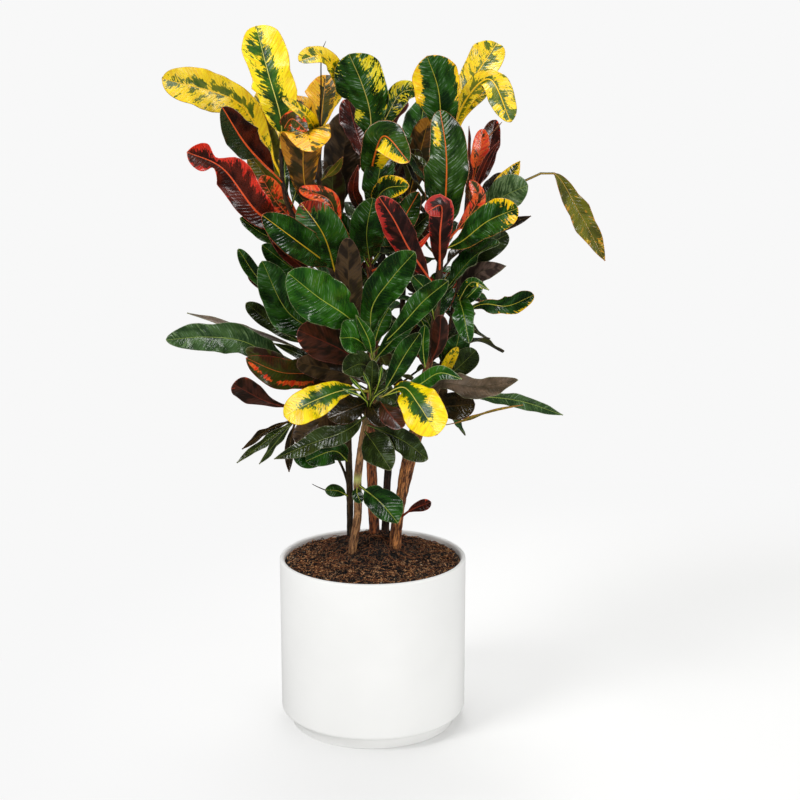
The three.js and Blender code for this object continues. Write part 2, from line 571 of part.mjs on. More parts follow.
function potGeometry() {
  const inner = POT_RADIUS - POT_WALL;
  return turned([
    [0, 0],
    ...arc(FOOT_RADIUS - 1, 1, 1, -90, 0, 1),
    [FOOT_RADIUS, FOOT_HEIGHT],
    ...arc(POT_RADIUS - LOWER_EDGE_RADIUS, FOOT_HEIGHT + LOWER_EDGE_RADIUS, LOWER_EDGE_RADIUS, -90, 0, 3),
    ...arc(POT_RADIUS - LIP_RADIUS, POT_HEIGHT - LIP_RADIUS, LIP_RADIUS, 0, 180, 3),
    [inner, SHELF_HEIGHT],
    [FOOT_RADIUS - POT_WALL, SHELF_HEIGHT],
    [FOOT_RADIUS - POT_WALL, POT_FLOOR],
    [0, POT_FLOOR],
  ], POT_SIDES);
}

function moundHeight(x, y) {
  const away = ((x - MOUND.x) ** 2 + (y - MOUND.y) ** 2) / MOUND.spread ** 2;
  return MOUND.height * Math.exp(-away);
}

function soilSolid(holes) {
  const radius = POT_RADIUS - POT_WALL - GAP;
  const lowRadius = FOOT_RADIUS - POT_WALL - GAP;
  const rings = SOIL_RINGS;
  const profile = [
    [0, POT_FLOOR + GAP],
    [lowRadius, POT_FLOOR + GAP],
    [lowRadius, SHELF_HEIGHT + GAP],
    [radius, SHELF_HEIGHT + GAP],
  ];
  for (let i = 0; i <= rings; i += 1) {
    profile.push([radius * (1 - i / rings), SOIL_LEVEL]);
  }
  const geometry = turned(profile, SOIL_SIDES);
  const place = geometry.attributes.position;
  for (let i = 0; i < place.count; i += 1) {
    const x = place.getX(i);
    const y = place.getY(i);
    const inside = 1 - (Math.hypot(x, y) / radius) ** 6;
    if (place.getZ(i) > SHELF_HEIGHT + 1) {
      place.setZ(i, SOIL_LEVEL + moundHeight(x, y) * Math.max(0, inside));
    }
  }
  return holes.reduce((soil, hole) => soil.subtract(hole), solidFromGeometry(geometry));
}

// The leaves that the eye sees.
function frontLeaves() {
  return Object.entries(LEAVES).map(([name, row], i) => {
    const [branch, fromRow, through, wide, face, turn, fold, form, stalk] = row;
    return {
      branch, through, wide, face, turn, fold, form, stalk,
      curled: CURLED.includes(name),
      phase: SEEN_PHASE * i,
      facing: VIEW_FACING,
      base: atRow(branch, fromRow),
      mustStay: true,
    };
  });
}

// The leaves of the hidden side: each leans out from its branch and arches over.
function backLeaves() {
  const list = [];
  for (const [branch, low, high, count, middle, span, lowLength, highLength] of HIDDEN) {
    for (let i = 0; i < count; i += 1) {
      const share = (i + 0.5) / count;
      const base = atHeight(branch, THREE.MathUtils.lerp(low, high, share));
      const bearing = THREE.MathUtils.degToRad(middle + (((i * BEARING_STEP) % span) - span / 2));
      const size = SIZE.least + SIZE.more * ((i * SIZE.step) % 1);
      const length = THREE.MathUtils.lerp(lowLength, highLength, share) * size;
      const sway = ((i * SWAY.step + SWAY.start) % 1) - 0.5;
      const climb = THREE.MathUtils.clamp((base.z - RISE.level) / RISE.climb, RISE.least, RISE.most);
      const rise = climb + RISE.sway * sway;
      const out = new THREE.Vector3(Math.cos(bearing), Math.sin(bearing), 0);
      const via = base.clone().addScaledVector(out, MIDWAY.out * length);
      via.z += (MIDWAY.up + MIDWAY.rise * rise) * length;
      const tip = base.clone().addScaledVector(out, (REACH.out - REACH.rise * Math.abs(rise)) * length);
      tip.z += rise * length;
      list.push({
        branch, base,
        through: [placeOf(via), placeOf(tip)],
        wide: HIDDEN_BLADE.wide * length,
        face: 0,
        turn: HIDDEN_BLADE.turn * sway,
        fold: HIDDEN_BLADE.fold + HIDDEN_BLADE.foldSway * Math.abs(sway),
        form: i % HIDDEN_BLADE.spoonEvery === 0 ? 'spoon' : 'oval',
        stalk: HIDDEN_BLADE.stalk,
        phase: HIDDEN_PHASE * i,
        facing: new THREE.Vector3(-HIDDEN_BLADE.lean * out.x, -HIDDEN_BLADE.lean * out.y, 1).normalize(),
        curled: false,
        mustStay: false,
      });
    }
  }
  return list;
}

function boxesMeet(a, b) {
  const p = a.boundingBox();
  const q = b.boundingBox();
  return [0, 1, 2].every((k) => p.min[k] <= q.max[k] && q.min[k] <= p.max[k]);
}

function meet(a, b) {
  return boxesMeet(a, b) && !a.intersect(b).isEmpty();
}

// Lays the leaves one by one. A leaf that would cross another is bent back or forth until it is clear.
function layLeaves(leaves) {
  const nodeOf = (name) => BRANCHES[name].node;
  const wood = Object.keys(BRANCHES).map((name) => ({
    node: nodeOf(name), whole: branchSolid(name, STEM_SIDES, CLEAR_STEM),
  }));
  const laid = [];
  for (const [i, leaf] of leaves.entries()) {
    const node = nodeOf(leaf.branch);
    let fallback = null;
    let chosen = null;
    for (const bend of BENDS) {
      const sections = leafSections(leaf, bend);
      const whole = slab(sections, CLEAR_THICKNESS - BLADE_THICKNESS, CLEAR_EDGE);
      const apart = laid.concat(wood).every((other) => other.node === node || !meet(whole, other.whole));
      if (!apart) {
        continue;
      }
      const outer = slab(sections.filter(({ t }) => t > OWN_STEM_REACH), 1, 0);
      const candidate = { node, sections, whole, outer };
      fallback = fallback ?? candidate;
      const own = laid.filter((other) => other.node === node);
      const ownWood = wood.filter((other) => other.node === node);
      const clearOfLeaves = own.every((other) => !meet(outer, other.outer));
      if (clearOfLeaves && ownWood.every((other) => !meet(outer, other.whole))) {
        chosen = candidate;
        break;
      }
    }
    if (!chosen && !leaf.mustStay) {
      continue;
    }
    if (!chosen && !fallback) {
      throw new Error(`Leaf ${i} on ${leaf.branch} finds no clear place.`);
    }
    laid.push(chosen ?? fallback);
  }
  return laid;
}

function material(color, roughness) {
  return new THREE.MeshStandardMaterial({ color, roughness, metalness: 0 });
}

function namedMesh(name, geometry, look) {
  const mesh = new THREE.Mesh(geometry, look);
  mesh.name = name;
  return mesh;
}

const LEAFY_LOOKS = {
  stem_front: material('#2f6b2a', 0.4),
  stem_left: material('#8a7a24', 0.42),
  stem_centre: material('#2c5a2c', 0.38),
  stem_right: material('#35602a', 0.4),
  stem_back: material('#3b4a24', 0.45),
};

const plant = new THREE.Group();
const laidLeaves = layLeaves([...frontLeaves(), ...backLeaves()]);
const roots = Object.keys(BRANCHES).filter((name) => BRANCHES[name].root);

const soil = soilSolid(roots.map((name) => branchSolid(name, STEM_SIDES, GAP)));

plant.add(namedMesh('pot', potGeometry(), material('#f2f2f0', 0.5)));
plant.add(namedMesh('soil', geometryOf(soil), material('#3a2619', 0.95)));

for (const [node, look] of Object.entries(LEAFY_LOOKS)) {
  const pieces = Object.keys(BRANCHES)
    .filter((name) => BRANCHES[name].node === node)
    .map((name) => branchSolid(name, STEM_SIDES, 0));
  for (const { sections } of laidLeaves.filter((leaf) => leaf.node === node)) {
    pieces.push(slab(sections, 0, 0));
  }
  const joined = pieces.reduce((whole, piece) => whole.add(piece));
  plant.add(namedMesh(node, geometryOf(joined), look));
}

export default plant;
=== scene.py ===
"""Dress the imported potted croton: its pot, soil, woody stems and leaves, with a camera, soft light and a floor."""
import logging
import math
from collections.abc import Callable
from dataclasses import dataclass
from enum import Enum
from functools import cached_property

import bpy
import numpy as np
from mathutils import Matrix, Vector, kdtree, noise


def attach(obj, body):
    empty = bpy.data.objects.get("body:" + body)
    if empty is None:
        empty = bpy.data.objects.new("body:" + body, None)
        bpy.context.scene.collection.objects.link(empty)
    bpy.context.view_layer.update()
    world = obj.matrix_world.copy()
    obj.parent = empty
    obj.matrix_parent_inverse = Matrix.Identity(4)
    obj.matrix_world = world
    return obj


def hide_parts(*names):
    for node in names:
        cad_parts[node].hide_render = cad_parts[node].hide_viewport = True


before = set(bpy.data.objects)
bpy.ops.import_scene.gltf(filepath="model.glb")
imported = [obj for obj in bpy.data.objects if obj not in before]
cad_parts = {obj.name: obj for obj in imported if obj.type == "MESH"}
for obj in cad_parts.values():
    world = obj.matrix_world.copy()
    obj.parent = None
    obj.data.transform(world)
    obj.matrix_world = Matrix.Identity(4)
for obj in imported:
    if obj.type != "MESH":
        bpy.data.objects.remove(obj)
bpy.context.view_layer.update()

LOG = logging.getLogger("croton")
MM = 0.001
BODY = "root"
Three = tuple[float, float, float]
Place = Three
Socket = bpy.types.NodeSocket
Colour = tuple[float, float, float, float]

# Woody branches, root end first: the node, the radii at the start, the middle and the end in millimetres,
# and places read as [column, row, depth] in the view below.
BRANCHES: dict[str, tuple] = {
    "left": ("stem_left", (3.4, 4.8, 2.4), (
        (350, 583, 50), (350, 527, 50), (350, 503, 46), (349, 468, 40),
        (347, 420, 30), (346, 360, 18), (344, 315, 5), (336, 275, -5),
        (324, 225, -10), (319, 170, -5), (320, 131, 0),
    )),
    "leftTop": ("stem_left", (3.2, 2.6, 2.0), (
        (338, 283, -4), (316, 242, -22), (298, 222, -30), (288, 205, -34),
        (282, 176, -36), (281, 150, -36), (281, 133, -38),
    )),
    "leftTwig": ("stem_left", (2.4, 2.0, 1.6), (
        (347, 436, 33), (325, 427, 10), (303, 421, -10), (288, 417, -20),
    )),
    "leftShoot": ("stem_left", (1.8, 1.6, 1.4), (
        (349.5, 498, 46), (346, 477, 42), (337, 457, 36), (330, 449, 30),
    )),
    "front": ("stem_front", (5.0, 4.6, 2.8), (
        (349, 599, -10), (352, 553, -12), (357.5, 518, -14), (358, 501, -16),
        (357.5, 482, -18), (359.6, 461, -22), (364, 430, -30), (371, 400, -36),
        (373, 370, -40), (372, 345, -42),
    )),
    "frontShoot": ("stem_front", (3.4, 3.0, 2.6), (
        (366, 424, -31), (374, 408, -44), (382, 395, -56),
    )),
    "centre": ("stem_centre", (6.6, 5.6, 2.4), (
        (374, 589, 25), (374.5, 535, 25), (373, 500, 24), (371.5, 461, 22),
        (371, 420, 20), (372, 380, 20), (374, 330, 22), (372, 290, 24),
        (369, 250, 24), (370, 200, 20), (371, 165, 16), (371, 140, 14),
    )),
    "right": ("stem_right", (7.6, 5.0, 2.4), (
        (393, 596, 0), (395, 548, 0), (398, 515, 0), (402, 492, 1),
        (405, 470, -2), (412, 440, -10), (424, 385, -18), (434, 330, -22),
        (439, 280, -24), (441, 230, -24), (443, 190, -22), (445, 160, -20),
    )),
    "rightOuter": ("stem_right", (6.4, 4.4, 2.4), (
        (400, 503, 1), (409, 468, 12), (420, 430, 22), (437, 385, 30),
        (449, 340, 32), (457, 290, 30), (462, 250, 26), (469, 205, 20),
        (471, 180, 18),
    )),
    "back": ("stem_back", (5.0, 4.0, 2.4), (
        (384, 584, 40), (385, 541, 40), (386, 510, 44), (387.7, 475, 48),
        (392, 430, 56), (398, 380, 64), (402, 320, 72), (404, 260, 76),
        (405, 210, 78), (406, 175, 78),
    )),
    "backLimb": ("stem_back", (3.2, 2.8, 2.2), (
        (396, 400, 61), (370, 350, 85), (347, 300, 100), (338, 250, 104),
        (337, 215, 104),
    )),
}

# Leaves that the view shows: l in the left half and middle, r in the right half, numbered from the top. Each
# has its branch, the row where it leaves that branch, places on the midrib up to the tip, width, turn of the
# upper side, further turn at the base, fold, outline, share of stalk, and the letter of its finish.
LEAVES: dict[str, tuple] = {
    "l1": ("leftTop", 178, ((263, 143, -30), (240, 109, -44), (162, 85, -95)),
        43, 0, 0, 14, "spoon", 0.1, "M"),
    "l2": ("leftTop", 150, ((281, 120, -52), (269, 76, -58), (256, 26, -38)),
        54, 0, 0, 8, "strap", 0.16, "Y"),
    "l9": ("leftTop", 184, ((247, 146, -68), (222, 107, -104)), 40, 10, 0, 26, "oval", 0.14, "N"),
    "l11": ("leftTop", 225, ((262, 216, -66), (222, 168, -92), (187, 152, -124)),
        52, 0, 0, 18, "waist", 0.12, "F"),
    "l12": ("left", 268, ((297, 241, -92), (262, 215, -126)), 38, 0, 0, 14, "oval", 0.12, "GR"),
    "l13": ("left", 276, ((322, 232, -72), (301, 203, -86)), 52, 0, 0, 16, "oval", 0.12, "GR"),
    "l3": ("left", 140, ((305, 110, -34), (282, 97, -70)), 26, 50, 0, 30, "oval", 0.14, "O"),
    "l4": ("left", 133, ((340, 86, -8), (324, 53, -42), (299, 55, -76)),
        18, 10, 0, 14, "strap", 0.22, "M"),
    "l5": ("left", 135, ((323, 103, 18), (326, 75, 34)), 42, 0, 0, 16, "oval", 0.1, "O"),
    "l6": ("left", 225, ((306, 190, -12), (303, 150, -18), (306, 131, -38), (312, 152, -60)),
        54, 180, 0, 10, "spoon", 0.12, "O"),
    "l7": ("backLimb", 225, ((342, 165, 84), (350, 111, 78)), 44, 180, 0, 10, "spoon", 0.12, "D"),
    "l7b": ("backLimb", 235, ((333, 195, 70), (333, 165, 60)), 30, 180, 0, 10, "oval", 0.15, "A"),
    "l7c": ("left", 180, ((334, 170, -12), (343, 157, -20)), 10, 30, 0, 10, "lance", 0.2, "W"),
    "l8": ("centre", 152, ((370, 112, 0), (362, 84, -14), (349, 54, -32)),
        58, -8, 0, 12, "spoon", 0.1, "S"),
    "l15": ("centre", 222, ((353, 190, -24), (358, 165, -30)), 15, 20, 0, 16, "lance", 0.15, "R"),
    "l16": ("centre", 190, ((374, 158, -30), (384, 136, -56), (409, 162, -92)),
        38, 10, 0, 14, "oval", 0.12, "V"),
    "l16b": ("centre", 207, ((388, 188, -48), (409, 186, -76)), 26, 10, 0, 10, "oval", 0.16, "E"),
    "l16c": ("centre", 214, ((378, 180, -22), (383, 150, -18)), 34, 0, 0, 14, "oval", 0.14, "G"),
    "l14": ("left", 268, ((335, 235, -30), (330, 201, -42), (299, 189, -50)),
        20, 10, 0, 14, "strap", 0.35, "C"),
    "r1": ("right", 165, ((441, 118, -32), (438, 88, -44), (427, 56, -62)),
        52, 0, 0, 12, "spoon", 0.16, "E"),
    "r6": ("right", 242, ((446, 190, -48), (446, 150, -54), (440, 110, -46)),
        50, 0, 0, 18, "oval", 0.1, "V"),
    "r2": ("right", 170, ((456, 108, -10), (474, 78, 8), (497, 43, 44)), 38, 0, 0, 12, "spoon", 0.2, "M"),
    "r3": ("right", 174, ((463, 105, -26), (488, 79, -46), (511, 122, -92)),
        24, 0, 0, 14, "strap", 0.26, "M"),
    "r4": ("right", 178, ((458, 116, 4), (470, 102, 8), (487, 93, 14)), 18, 0, 0, 10, "oval", 0.3, "M"),
    "r5": ("centre", 160, ((386, 118, 14), (403, 92, 16), (421, 90, 18)), 26, 0, 0, 12, "oval", 0.3, "S"),
    "r7": ("back", 215, ((417, 165, 50), (429, 118, 40)), 33, 180, 0, 12, "spoon", 0.12, "O"),
    "r9": ("rightOuter", 192, ((479, 155, 18), (483, 129, 30)), 21, 10, 0, 14, "oval", 0.12, "C"),
    "r10": ("rightOuter", 255, ((467, 180, -8), (469, 126, -22)), 22, 76, 0, 14, "lance", 0.1, "R"),
    "r11": ("rightOuter", 205, ((487, 160, 8), (499, 141, 12)), 10, 20, 0, 10, "lance", 0.12, "R"),
    "r12": ("right", 248, ((470, 214, -34), (478, 197, -36), (470, 180, -38)),
        18, 20, 0, 12, "oval", 0.3, "C"),
    "r13": ("right", 272, ((440, 235, -70), (441, 206, -84), (427, 212, -104)),
        27, 180, 0, 12, "strap", 0.12, "F"),
    "r13b": ("centre", 272, ((400, 258, -34), (418, 247, -58), (434, 229, -66)),
        8, 10, 0, 10, "lance", 0.3, "F"),
    "r14": ("right", 292, ((408, 247, -72), (394, 220, -90), (379, 197, -106)),
        32, 180, 0, 12, "oval", 0.18, "F"),
    "r15": ("right", 252, ((462, 241, -58), (488, 221, -86), (518, 208, -112)),
        36, 0, 0, 12, "spoon", 0.12, "E"),
    "r16": ("rightOuter", 234, ((498, 200, -4), (528, 185, -22)), 40, -12, 0, 12, "spoon", 0.12, "P"),
    "r16b": ("rightOuter", 228, ((498, 193, 34), (520, 161, 50)), 24, 0, 0, 10, "lance", 0.2, "E"),
    "r17": ("rightOuter", 216, ((503, 197, 12), (530, 178, 2), (553, 173, -10), (580, 214, -26), (605, 261, -38)),
        27, 10, 0, 14, "lance", 0.5, "W"),
    "r18": ("rightOuter", 276, ((480, 250, 4), (508, 234, 12)), 34, 0, 0, 12, "oval", 0.12, "A"),
    "r19": ("rightOuter", 258, ((490, 232, 28), (531, 216, 40)), 14, 10, 0, 10, "lance", 0.2, "D"),
    "r20": ("rightOuter", 302, ((478, 273, -24), (506, 266, -52)), 24, 180, 0, 14, "lance", 0.14, "K"),
    "r20b": ("rightOuter", 308, ((474, 282, -34), (489, 290, -46)), 14, 20, 0, 10, "lance", 0.2, "S"),
    "r21": ("rightOuter", 306, ((470, 295, 20), (483, 281, 30)), 18, 0, 0, 10, "lance", 0.2, "B"),
    "r22": ("rightOuter", 293, ((463, 312, -12), (469, 343, -32)), 27, 0, 0, 14, "oval", 0.12, "B"),
    "r23": ("rightOuter", 314, ((484, 303, 16), (507, 304, 24), (534, 292, 22)),
        24, 0, 60, 14, "strap", 0.22, "E"),
    "r24": ("front", 354, ((398, 330, -70), (424, 302, -100), (448, 283, -130)),
        33, 0, 0, 14, "oval", 0.12, "G"),
    "r25": ("front", 347, ((372, 308, -66), (392, 278, -90), (415, 252, -116)),
        40, 0, 0, 14, "oval", 0.12, "G"),
    "r26": ("right", 368, ((438, 345, -36), (441, 315, -42)), 20, 180, 0, 14, "oval", 0.2, "R"),
    "r27": ("rightOuter", 372, ((455, 350, 8), (461, 327, 12)), 30, 0, 0, 10, "oval", 0.15, "G"),
    "r27b": ("rightOuter", 380, ((450, 360, -8), (458, 347, -12)), 14, 0, 0, 10, "oval", 0.2, "M"),
    "r28": ("rightOuter", 384, ((462, 364, 2), (476, 350, 0)), 28, 0, 0, 10, "spoon", 0.15, "A"),
    "r29": ("right", 412, ((440, 384, -46), (478, 385, -76), (518, 377, -106)),
        28, -30, 0, 26, "oval", 0.16, "K"),
    "r30": ("rightOuter", 402, ((480, 397, 2), (520, 401, -10), (563, 415, -22)),
        18, 30, 0, 12, "lance", 0.35, "P"),
    "r30b": ("rightOuter", 430, ((455, 423, 8), (470, 418, 0), (495, 410, -8), (523, 405, -14)),
        8, 20, 0, 10, "lance", 0.3, "W"),
    "r31": ("frontShoot", 398, ((404, 386, -90), (420, 402, -124), (439, 431, -150)),
        50, 0, 0, 8, "spoon", 0.2, "Y"),
    "r32": ("right", 424, ((436, 407, -38), (452, 406, -52), (475, 404, -70)),
        32, 0, 0, 10, "spoon", 0.2, "D"),
    "r33": ("frontShoot", 397, ((418, 385, -72), (440, 373, -90), (462, 379, -106)),
        19, 0, 0, 12, "lance", 0.2, "B"),
    "r34": ("frontShoot", 398, ((392, 378, -58), (405, 355, -64), (420, 333, -76)),
        25, 0, 0, 14, "oval", 0.15, "G"),
    "r35": ("right", 374, ((423, 345, -32), (425, 325, -38)), 15, 0, 0, 10, "oval", 0.2, "B"),
    "r36a": ("front", 430, ((376, 447, -68), (391, 470, -100)), 40, 0, 0, 10, "oval", 0.14, "A"),
    "r36b": ("front", 424, ((402, 440, -76), (428, 459, -114)), 30, 20, 0, 16, "oval", 0.14, "A"),
    "r37": ("front", 354, ((357, 336, -86), (343, 333, -116)), 40, 0, 0, 10, "spoon", 0.12, "B"),
    "r38": ("front", 370, ((360, 364, -80), (343, 372, -110)), 30, 0, 0, 12, "oval", 0.14, "A"),
    "r39": ("front", 351, ((352, 321, -76), (318, 297, -116), (288, 273, -146)),
        56, 0, 0, 12, "oval", 0.2, "B"),
    "r40": ("left", 348, ((325, 336, -16), (288, 312, -50), (262, 261, -76)),
        43, 0, 0, 14, "oval", 0.18, "G"),
    "r41": ("left", 318, ((300, 305, 20), (262, 282, 18), (238, 249, 10)),
        17, 0, 0, 12, "oval", 0.55, "G"),
    "r42": ("left", 324, ((300, 312, 30), (248, 276, 22)), 10, 0, 0, 10, "oval", 0.7, "R"),
    "r43": ("left", 356, ((290, 337, 10), (270, 322, 0), (246, 303, -20)),
        20, 0, 0, 12, "spoon", 0.35, "A"),
    "r44": ("left", 394, ((318, 386, 8), (288, 368, -14), (245, 342, -40), (205, 337, -62), (166, 340, -86)),
        35, 0, 60, 12, "oval", 0.24, "P"),
    "r46": ("left", 374, ((320, 361, 16), (290, 345, 20), (240, 328, 26), (187, 313, 32)),
        12, 40, 0, 10, "lance", 0.35, "K"),
    "r47": ("left", 390, ((317, 375, -20), (280, 372, -60), (246, 358, -90)),
        40, -10, 0, 28, "oval", 0.16, "C"),
    "r48": ("left", 412, ((318, 407, 10), (275, 401, -20), (235, 380, -46)),
        28, 160, 0, 12, "spoon", 0.44, "R"),
    "r49": ("front", 392, ((347, 388, -74), (315, 397, -114), (284, 411, -144)),
        38, 0, 0, 8, "spoon", 0.2, "Y"),
    "r50": ("front", 406, ((340, 408, -52), (318, 424, -76), (295, 442, -96)),
        34, 180, 0, 12, "oval", 0.18, "D"),
    "r51a": ("leftTwig", 419, ((268, 430, -34), (242, 449, -56)), 10, 10, 0, 10, "lance", 0.14, "D"),
    "r51b": ("leftTwig", 419, ((265, 442, -54), (237, 463, -84)), 11, 10, 0, 10, "lance", 0.14, "A"),
    "r51c": ("leftTwig", 419, ((278, 440, -8), (259, 464, 0)), 11, 10, 0, 10, "lance", 0.14, "A"),
    "r51d": ("leftTwig", 419, ((290, 445, -16), (289, 472, -26)), 12, 10, 0, 10, "lance", 0.14, "D"),
    "r52": ("front", 414, ((345, 431, -80), (310, 444, -106), (274, 459, -130)),
        27, 0, 0, 14, "lance", 0.12, "A"),
    "r52b": ("leftShoot", 450, ((318, 456, 16), (293, 456, 2)), 28, 0, 0, 10, "oval", 0.1, "G"),
    "r55": ("left", 497, ((338, 491, 34), (325, 490, 22)), 16, 0, 0, 12, "oval", 0.2, "G"),
    "r55b": ("front", 485, ((357, 493, -30), (361, 503, -36)), 13, 0, 0, 10, "oval", 0.2, "G"),
    "r55c": ("front", 484, ((381, 503, -52), (398, 523, -66)), 36, 0, 0, 12, "oval", 0.2, "G"),
    "r55d": ("right", 520, ((411, 510, -12), (431, 502, -24)), 14, 0, 0, 12, "spoon", 0.35, "R"),
    "r56": ("centre", 264, ((367, 228, -44), (373, 198, -52)), 40, 0, 0, 14, "oval", 0.12, "G"),
    "r57": ("front", 348, ((354, 322, -66), (349, 285, -98), (348, 238, -122)),
        30, 180, 0, 14, "oval", 0.16, "D"),
    "r58": ("left", 302, ((305, 278, -34), (262, 245, -60)), 28, 0, 0, 12, "oval", 0.2, "G"),
    "r59": ("leftTop", 240, ((270, 237, -56), (240, 218, -76)), 18, 20, 0, 12, "oval", 0.2, "G"),
    "r60": ("left", 298, ((285, 252, -62), (263, 222, -86)), 14, 0, 0, 12, "lance", 0.3, "R"),
    "r62": ("centre", 270, ((350, 235, -12), (323, 212, -22)), 27, 0, 0, 12, "oval", 0.3, "G"),
    "r63": ("centre", 266, ((398, 225, -12), (413, 197, -18)), 28, 0, 0, 12, "oval", 0.2, "G"),
    "r64": ("back", 262, ((420, 235, 30), (428, 212, 20)), 18, 180, 0, 12, "oval", 0.3, "R"),
    "r65": ("front", 374, ((345, 352, -60), (298, 330, -90)), 42, 180, 0, 12, "oval", 0.14, "R"),
    "r66": ("front", 386, ((335, 371, -54), (297, 362, -80)), 28, 180, 0, 12, "oval", 0.14, "D"),
    "r67": ("left", 382, ((315, 362, -8), (273, 343, -30)), 12, 20, 0, 12, "lance", 0.25, "A"),
    "r68": ("right", 322, ((427, 292, -46), (413, 276, -60)), 22, 0, 0, 12, "oval", 0.2, "G"),
    "r69": ("front", 350, ((380, 325, -56), (389, 308, -68)), 22, 0, 0, 12, "oval", 0.2, "G"),
    "r70": ("front", 362, ((388, 345, -60), (412, 320, -78)), 20, 0, 0, 12, "oval", 0.14, "G"),
    "r71": ("frontShoot", 400, ((388, 412, -86), (402, 428, -106)), 24, 170, 0, 12, "oval", 0.2, "R"),
}

# Leaves that only the dressing has, to close gaps that the photo shows filled; rows as above.
EXTRAS: dict[str, tuple] = {
    "x1": ("leftTop", 186, ((271, 150, -24), (254, 112, -34)), 27, 0, 0, 14, "oval", 0.1, "W"),
    "x2": ("leftTop", 232, ((278, 204, -30), (261, 176, -42)), 30, 0, 0, 12, "oval", 0.1, "C"),
    "x3": ("leftTop", 210, ((266, 176, -26), (249, 154, -36)), 26, 0, 0, 12, "oval", 0.1, "W"),
    "x4": ("front", 404, ((374, 410, -64), (386, 426, -80)), 24, 0, 0, 10, "oval", 0.12, "D"),
    "x5": ("front", 400, ((350, 409, -64), (328, 418, -84)), 30, 0, 0, 10, "oval", 0.12, "D"),
    "x6": ("front", 388, ((380, 392, -52), (396, 402, -60)), 22, 0, 0, 10, "oval", 0.12, "A"),
    "x7": ("left", 392, ((292, 372, -34), (246, 349, -58)), 27, 180, 0, 12, "oval", 0.1, "A"),
    "x8": ("left", 462, ((334, 451, 14), (306, 461, 0)), 30, 0, 0, 10, "oval", 0.1, "G"),
    "x9": ("centre", 246, ((398, 226, -44), (419, 192, -58)), 30, 0, 0, 12, "oval", 0.1, "V"),
    "x10": ("centre", 252, ((404, 236, -36), (430, 214, -52)), 26, 0, 0, 12, "oval", 0.1, "A"),
    "x11": ("left", 146, ((307, 116, -72), (282, 98, -88)), 15, 0, 0, 20, "oval", 0.1, "M"),
    "x12": ("leftTop", 134, ((293, 119, -74), (307, 131, -84)), 19, 0, 0, 10, "oval", 0.05, "C"),
    "x13": ("front", 408, ((362, 391, -70), (350, 377, -84)), 5, 0, 0, 10, "lance", 0.7, "B"),
    "x14": ("front", 412, ((364, 398, -74), (343, 389, -90)), 5, 0, 0, 10, "lance", 0.7, "B"),
    "x15": ("front", 406, ((370, 388, -66), (363, 372, -78)), 5, 0, 0, 10, "lance", 0.7, "G"),
    "x16": ("front", 400, ((378, 386, -62), (382, 366, -72)), 5, 0, 0, 10, "lance", 0.7, "B"),
    "x18": ("front", 358, ((368, 338, -76), (356, 315, -94)), 15, 0, 0, 18, "lance", 0.15, "B"),
    "x19": ("front", 394, ((372, 378, -62), (373, 360, -74)), 17, 0, 0, 12, "oval", 0.2, "A"),
    "x17": ("front", 414, ((374, 398, -70), (388, 388, -84)), 5, 0, 0, 10, "lance", 0.7, "G"),
}

# Leaves that curl right round: their upper side is carried along the midrib, step by step.
CURLED = ("l6",)
CARRY_STEPS = 64

# Leaves of the hidden side, by rule: branch, lowest and highest height, how many, the middle and the span of
# their bearings, and the length of the lowest and the highest.
HIDDEN: tuple[tuple, ...] = (
    ("back", 350, 460, 6, 80, 170, 125, 140),
    ("back", 475, 640, 8, 85, 150, 140, 115),
    ("backLimb", 440, 598, 7, 110, 150, 125, 115),
    ("left", 380, 530, 5, 120, 110, 120, 110),
    ("right", 430, 560, 4, 75, 90, 115, 110),
    ("rightOuter", 410, 530, 3, 60, 80, 105, 105),
    ("leftTop", 600, 664, 3, 105, 60, 105, 100),
    ("rightOuter", 570, 635, 2, 70, 60, 100, 95),
    ("centre", 610, 676, 4, 90, 100, 110, 100),
)

# Small leaves inside the crown that close the gaps between the branches, by the same rule. They are dressing
# and have no solids of their own.
INNER: tuple[tuple, ...] = (
    ("centre", 335, 470, 12, 90, 230, 80, 90),
    ("centre", 480, 640, 12, 90, 240, 75, 70),
    ("left", 330, 520, 12, 100, 220, 75, 85),
    ("right", 350, 520, 12, 120, 130, 80, 80),
    ("right", 530, 660, 8, 110, 140, 65, 60),
    ("front", 345, 450, 8, 90, 240, 70, 70),
    ("rightOuter", 390, 520, 8, 120, 120, 65, 70),
    ("back", 335, 420, 8, 90, 300, 90, 90),
    ("leftTop", 520, 620, 6, 150, 160, 60, 60),
    ("back", 430, 640, 14, 90, 330, 75, 65),
    ("backLimb", 440, 590, 8, 90, 330, 65, 65),
)

# Leaves whose tips the dressing moves by a few millimetres, as [columns, rows] in the view.
SHIFTS: dict[str, tuple[float, float]] = {
    "l1": (0.0, -7.0), "l4": (0.0, 6.0), "h8_2": (3.0, 9.0), "r49": (0.0, 5.0), "r37": (-3.0, 5.0),
    "r29": (0.0, 3.0), "r23": (0.0, 3.0), "r31": (-2.0, 4.0), "r48": (-2.0, 4.0), "r24": (0.0, -2.0),
}

# Hidden leaves whose finish is given one by one.
PICKED: dict[str, str] = {
    "h8_2": "R", "h7_0": "D", "h7_1": "R", "h5_0": "A", "h1_2": "A", "h1_3": "W", "h4_0": "A",
}

# Inner leaves that are left out, because they would close gaps which the photo shows open.
LEFT_OUT = ("i4_7", "i1_8", "i6_4", "i0_0", "i1_10", "i2_0", "i3_0", "i5_0", "i5_7", "i7_0")

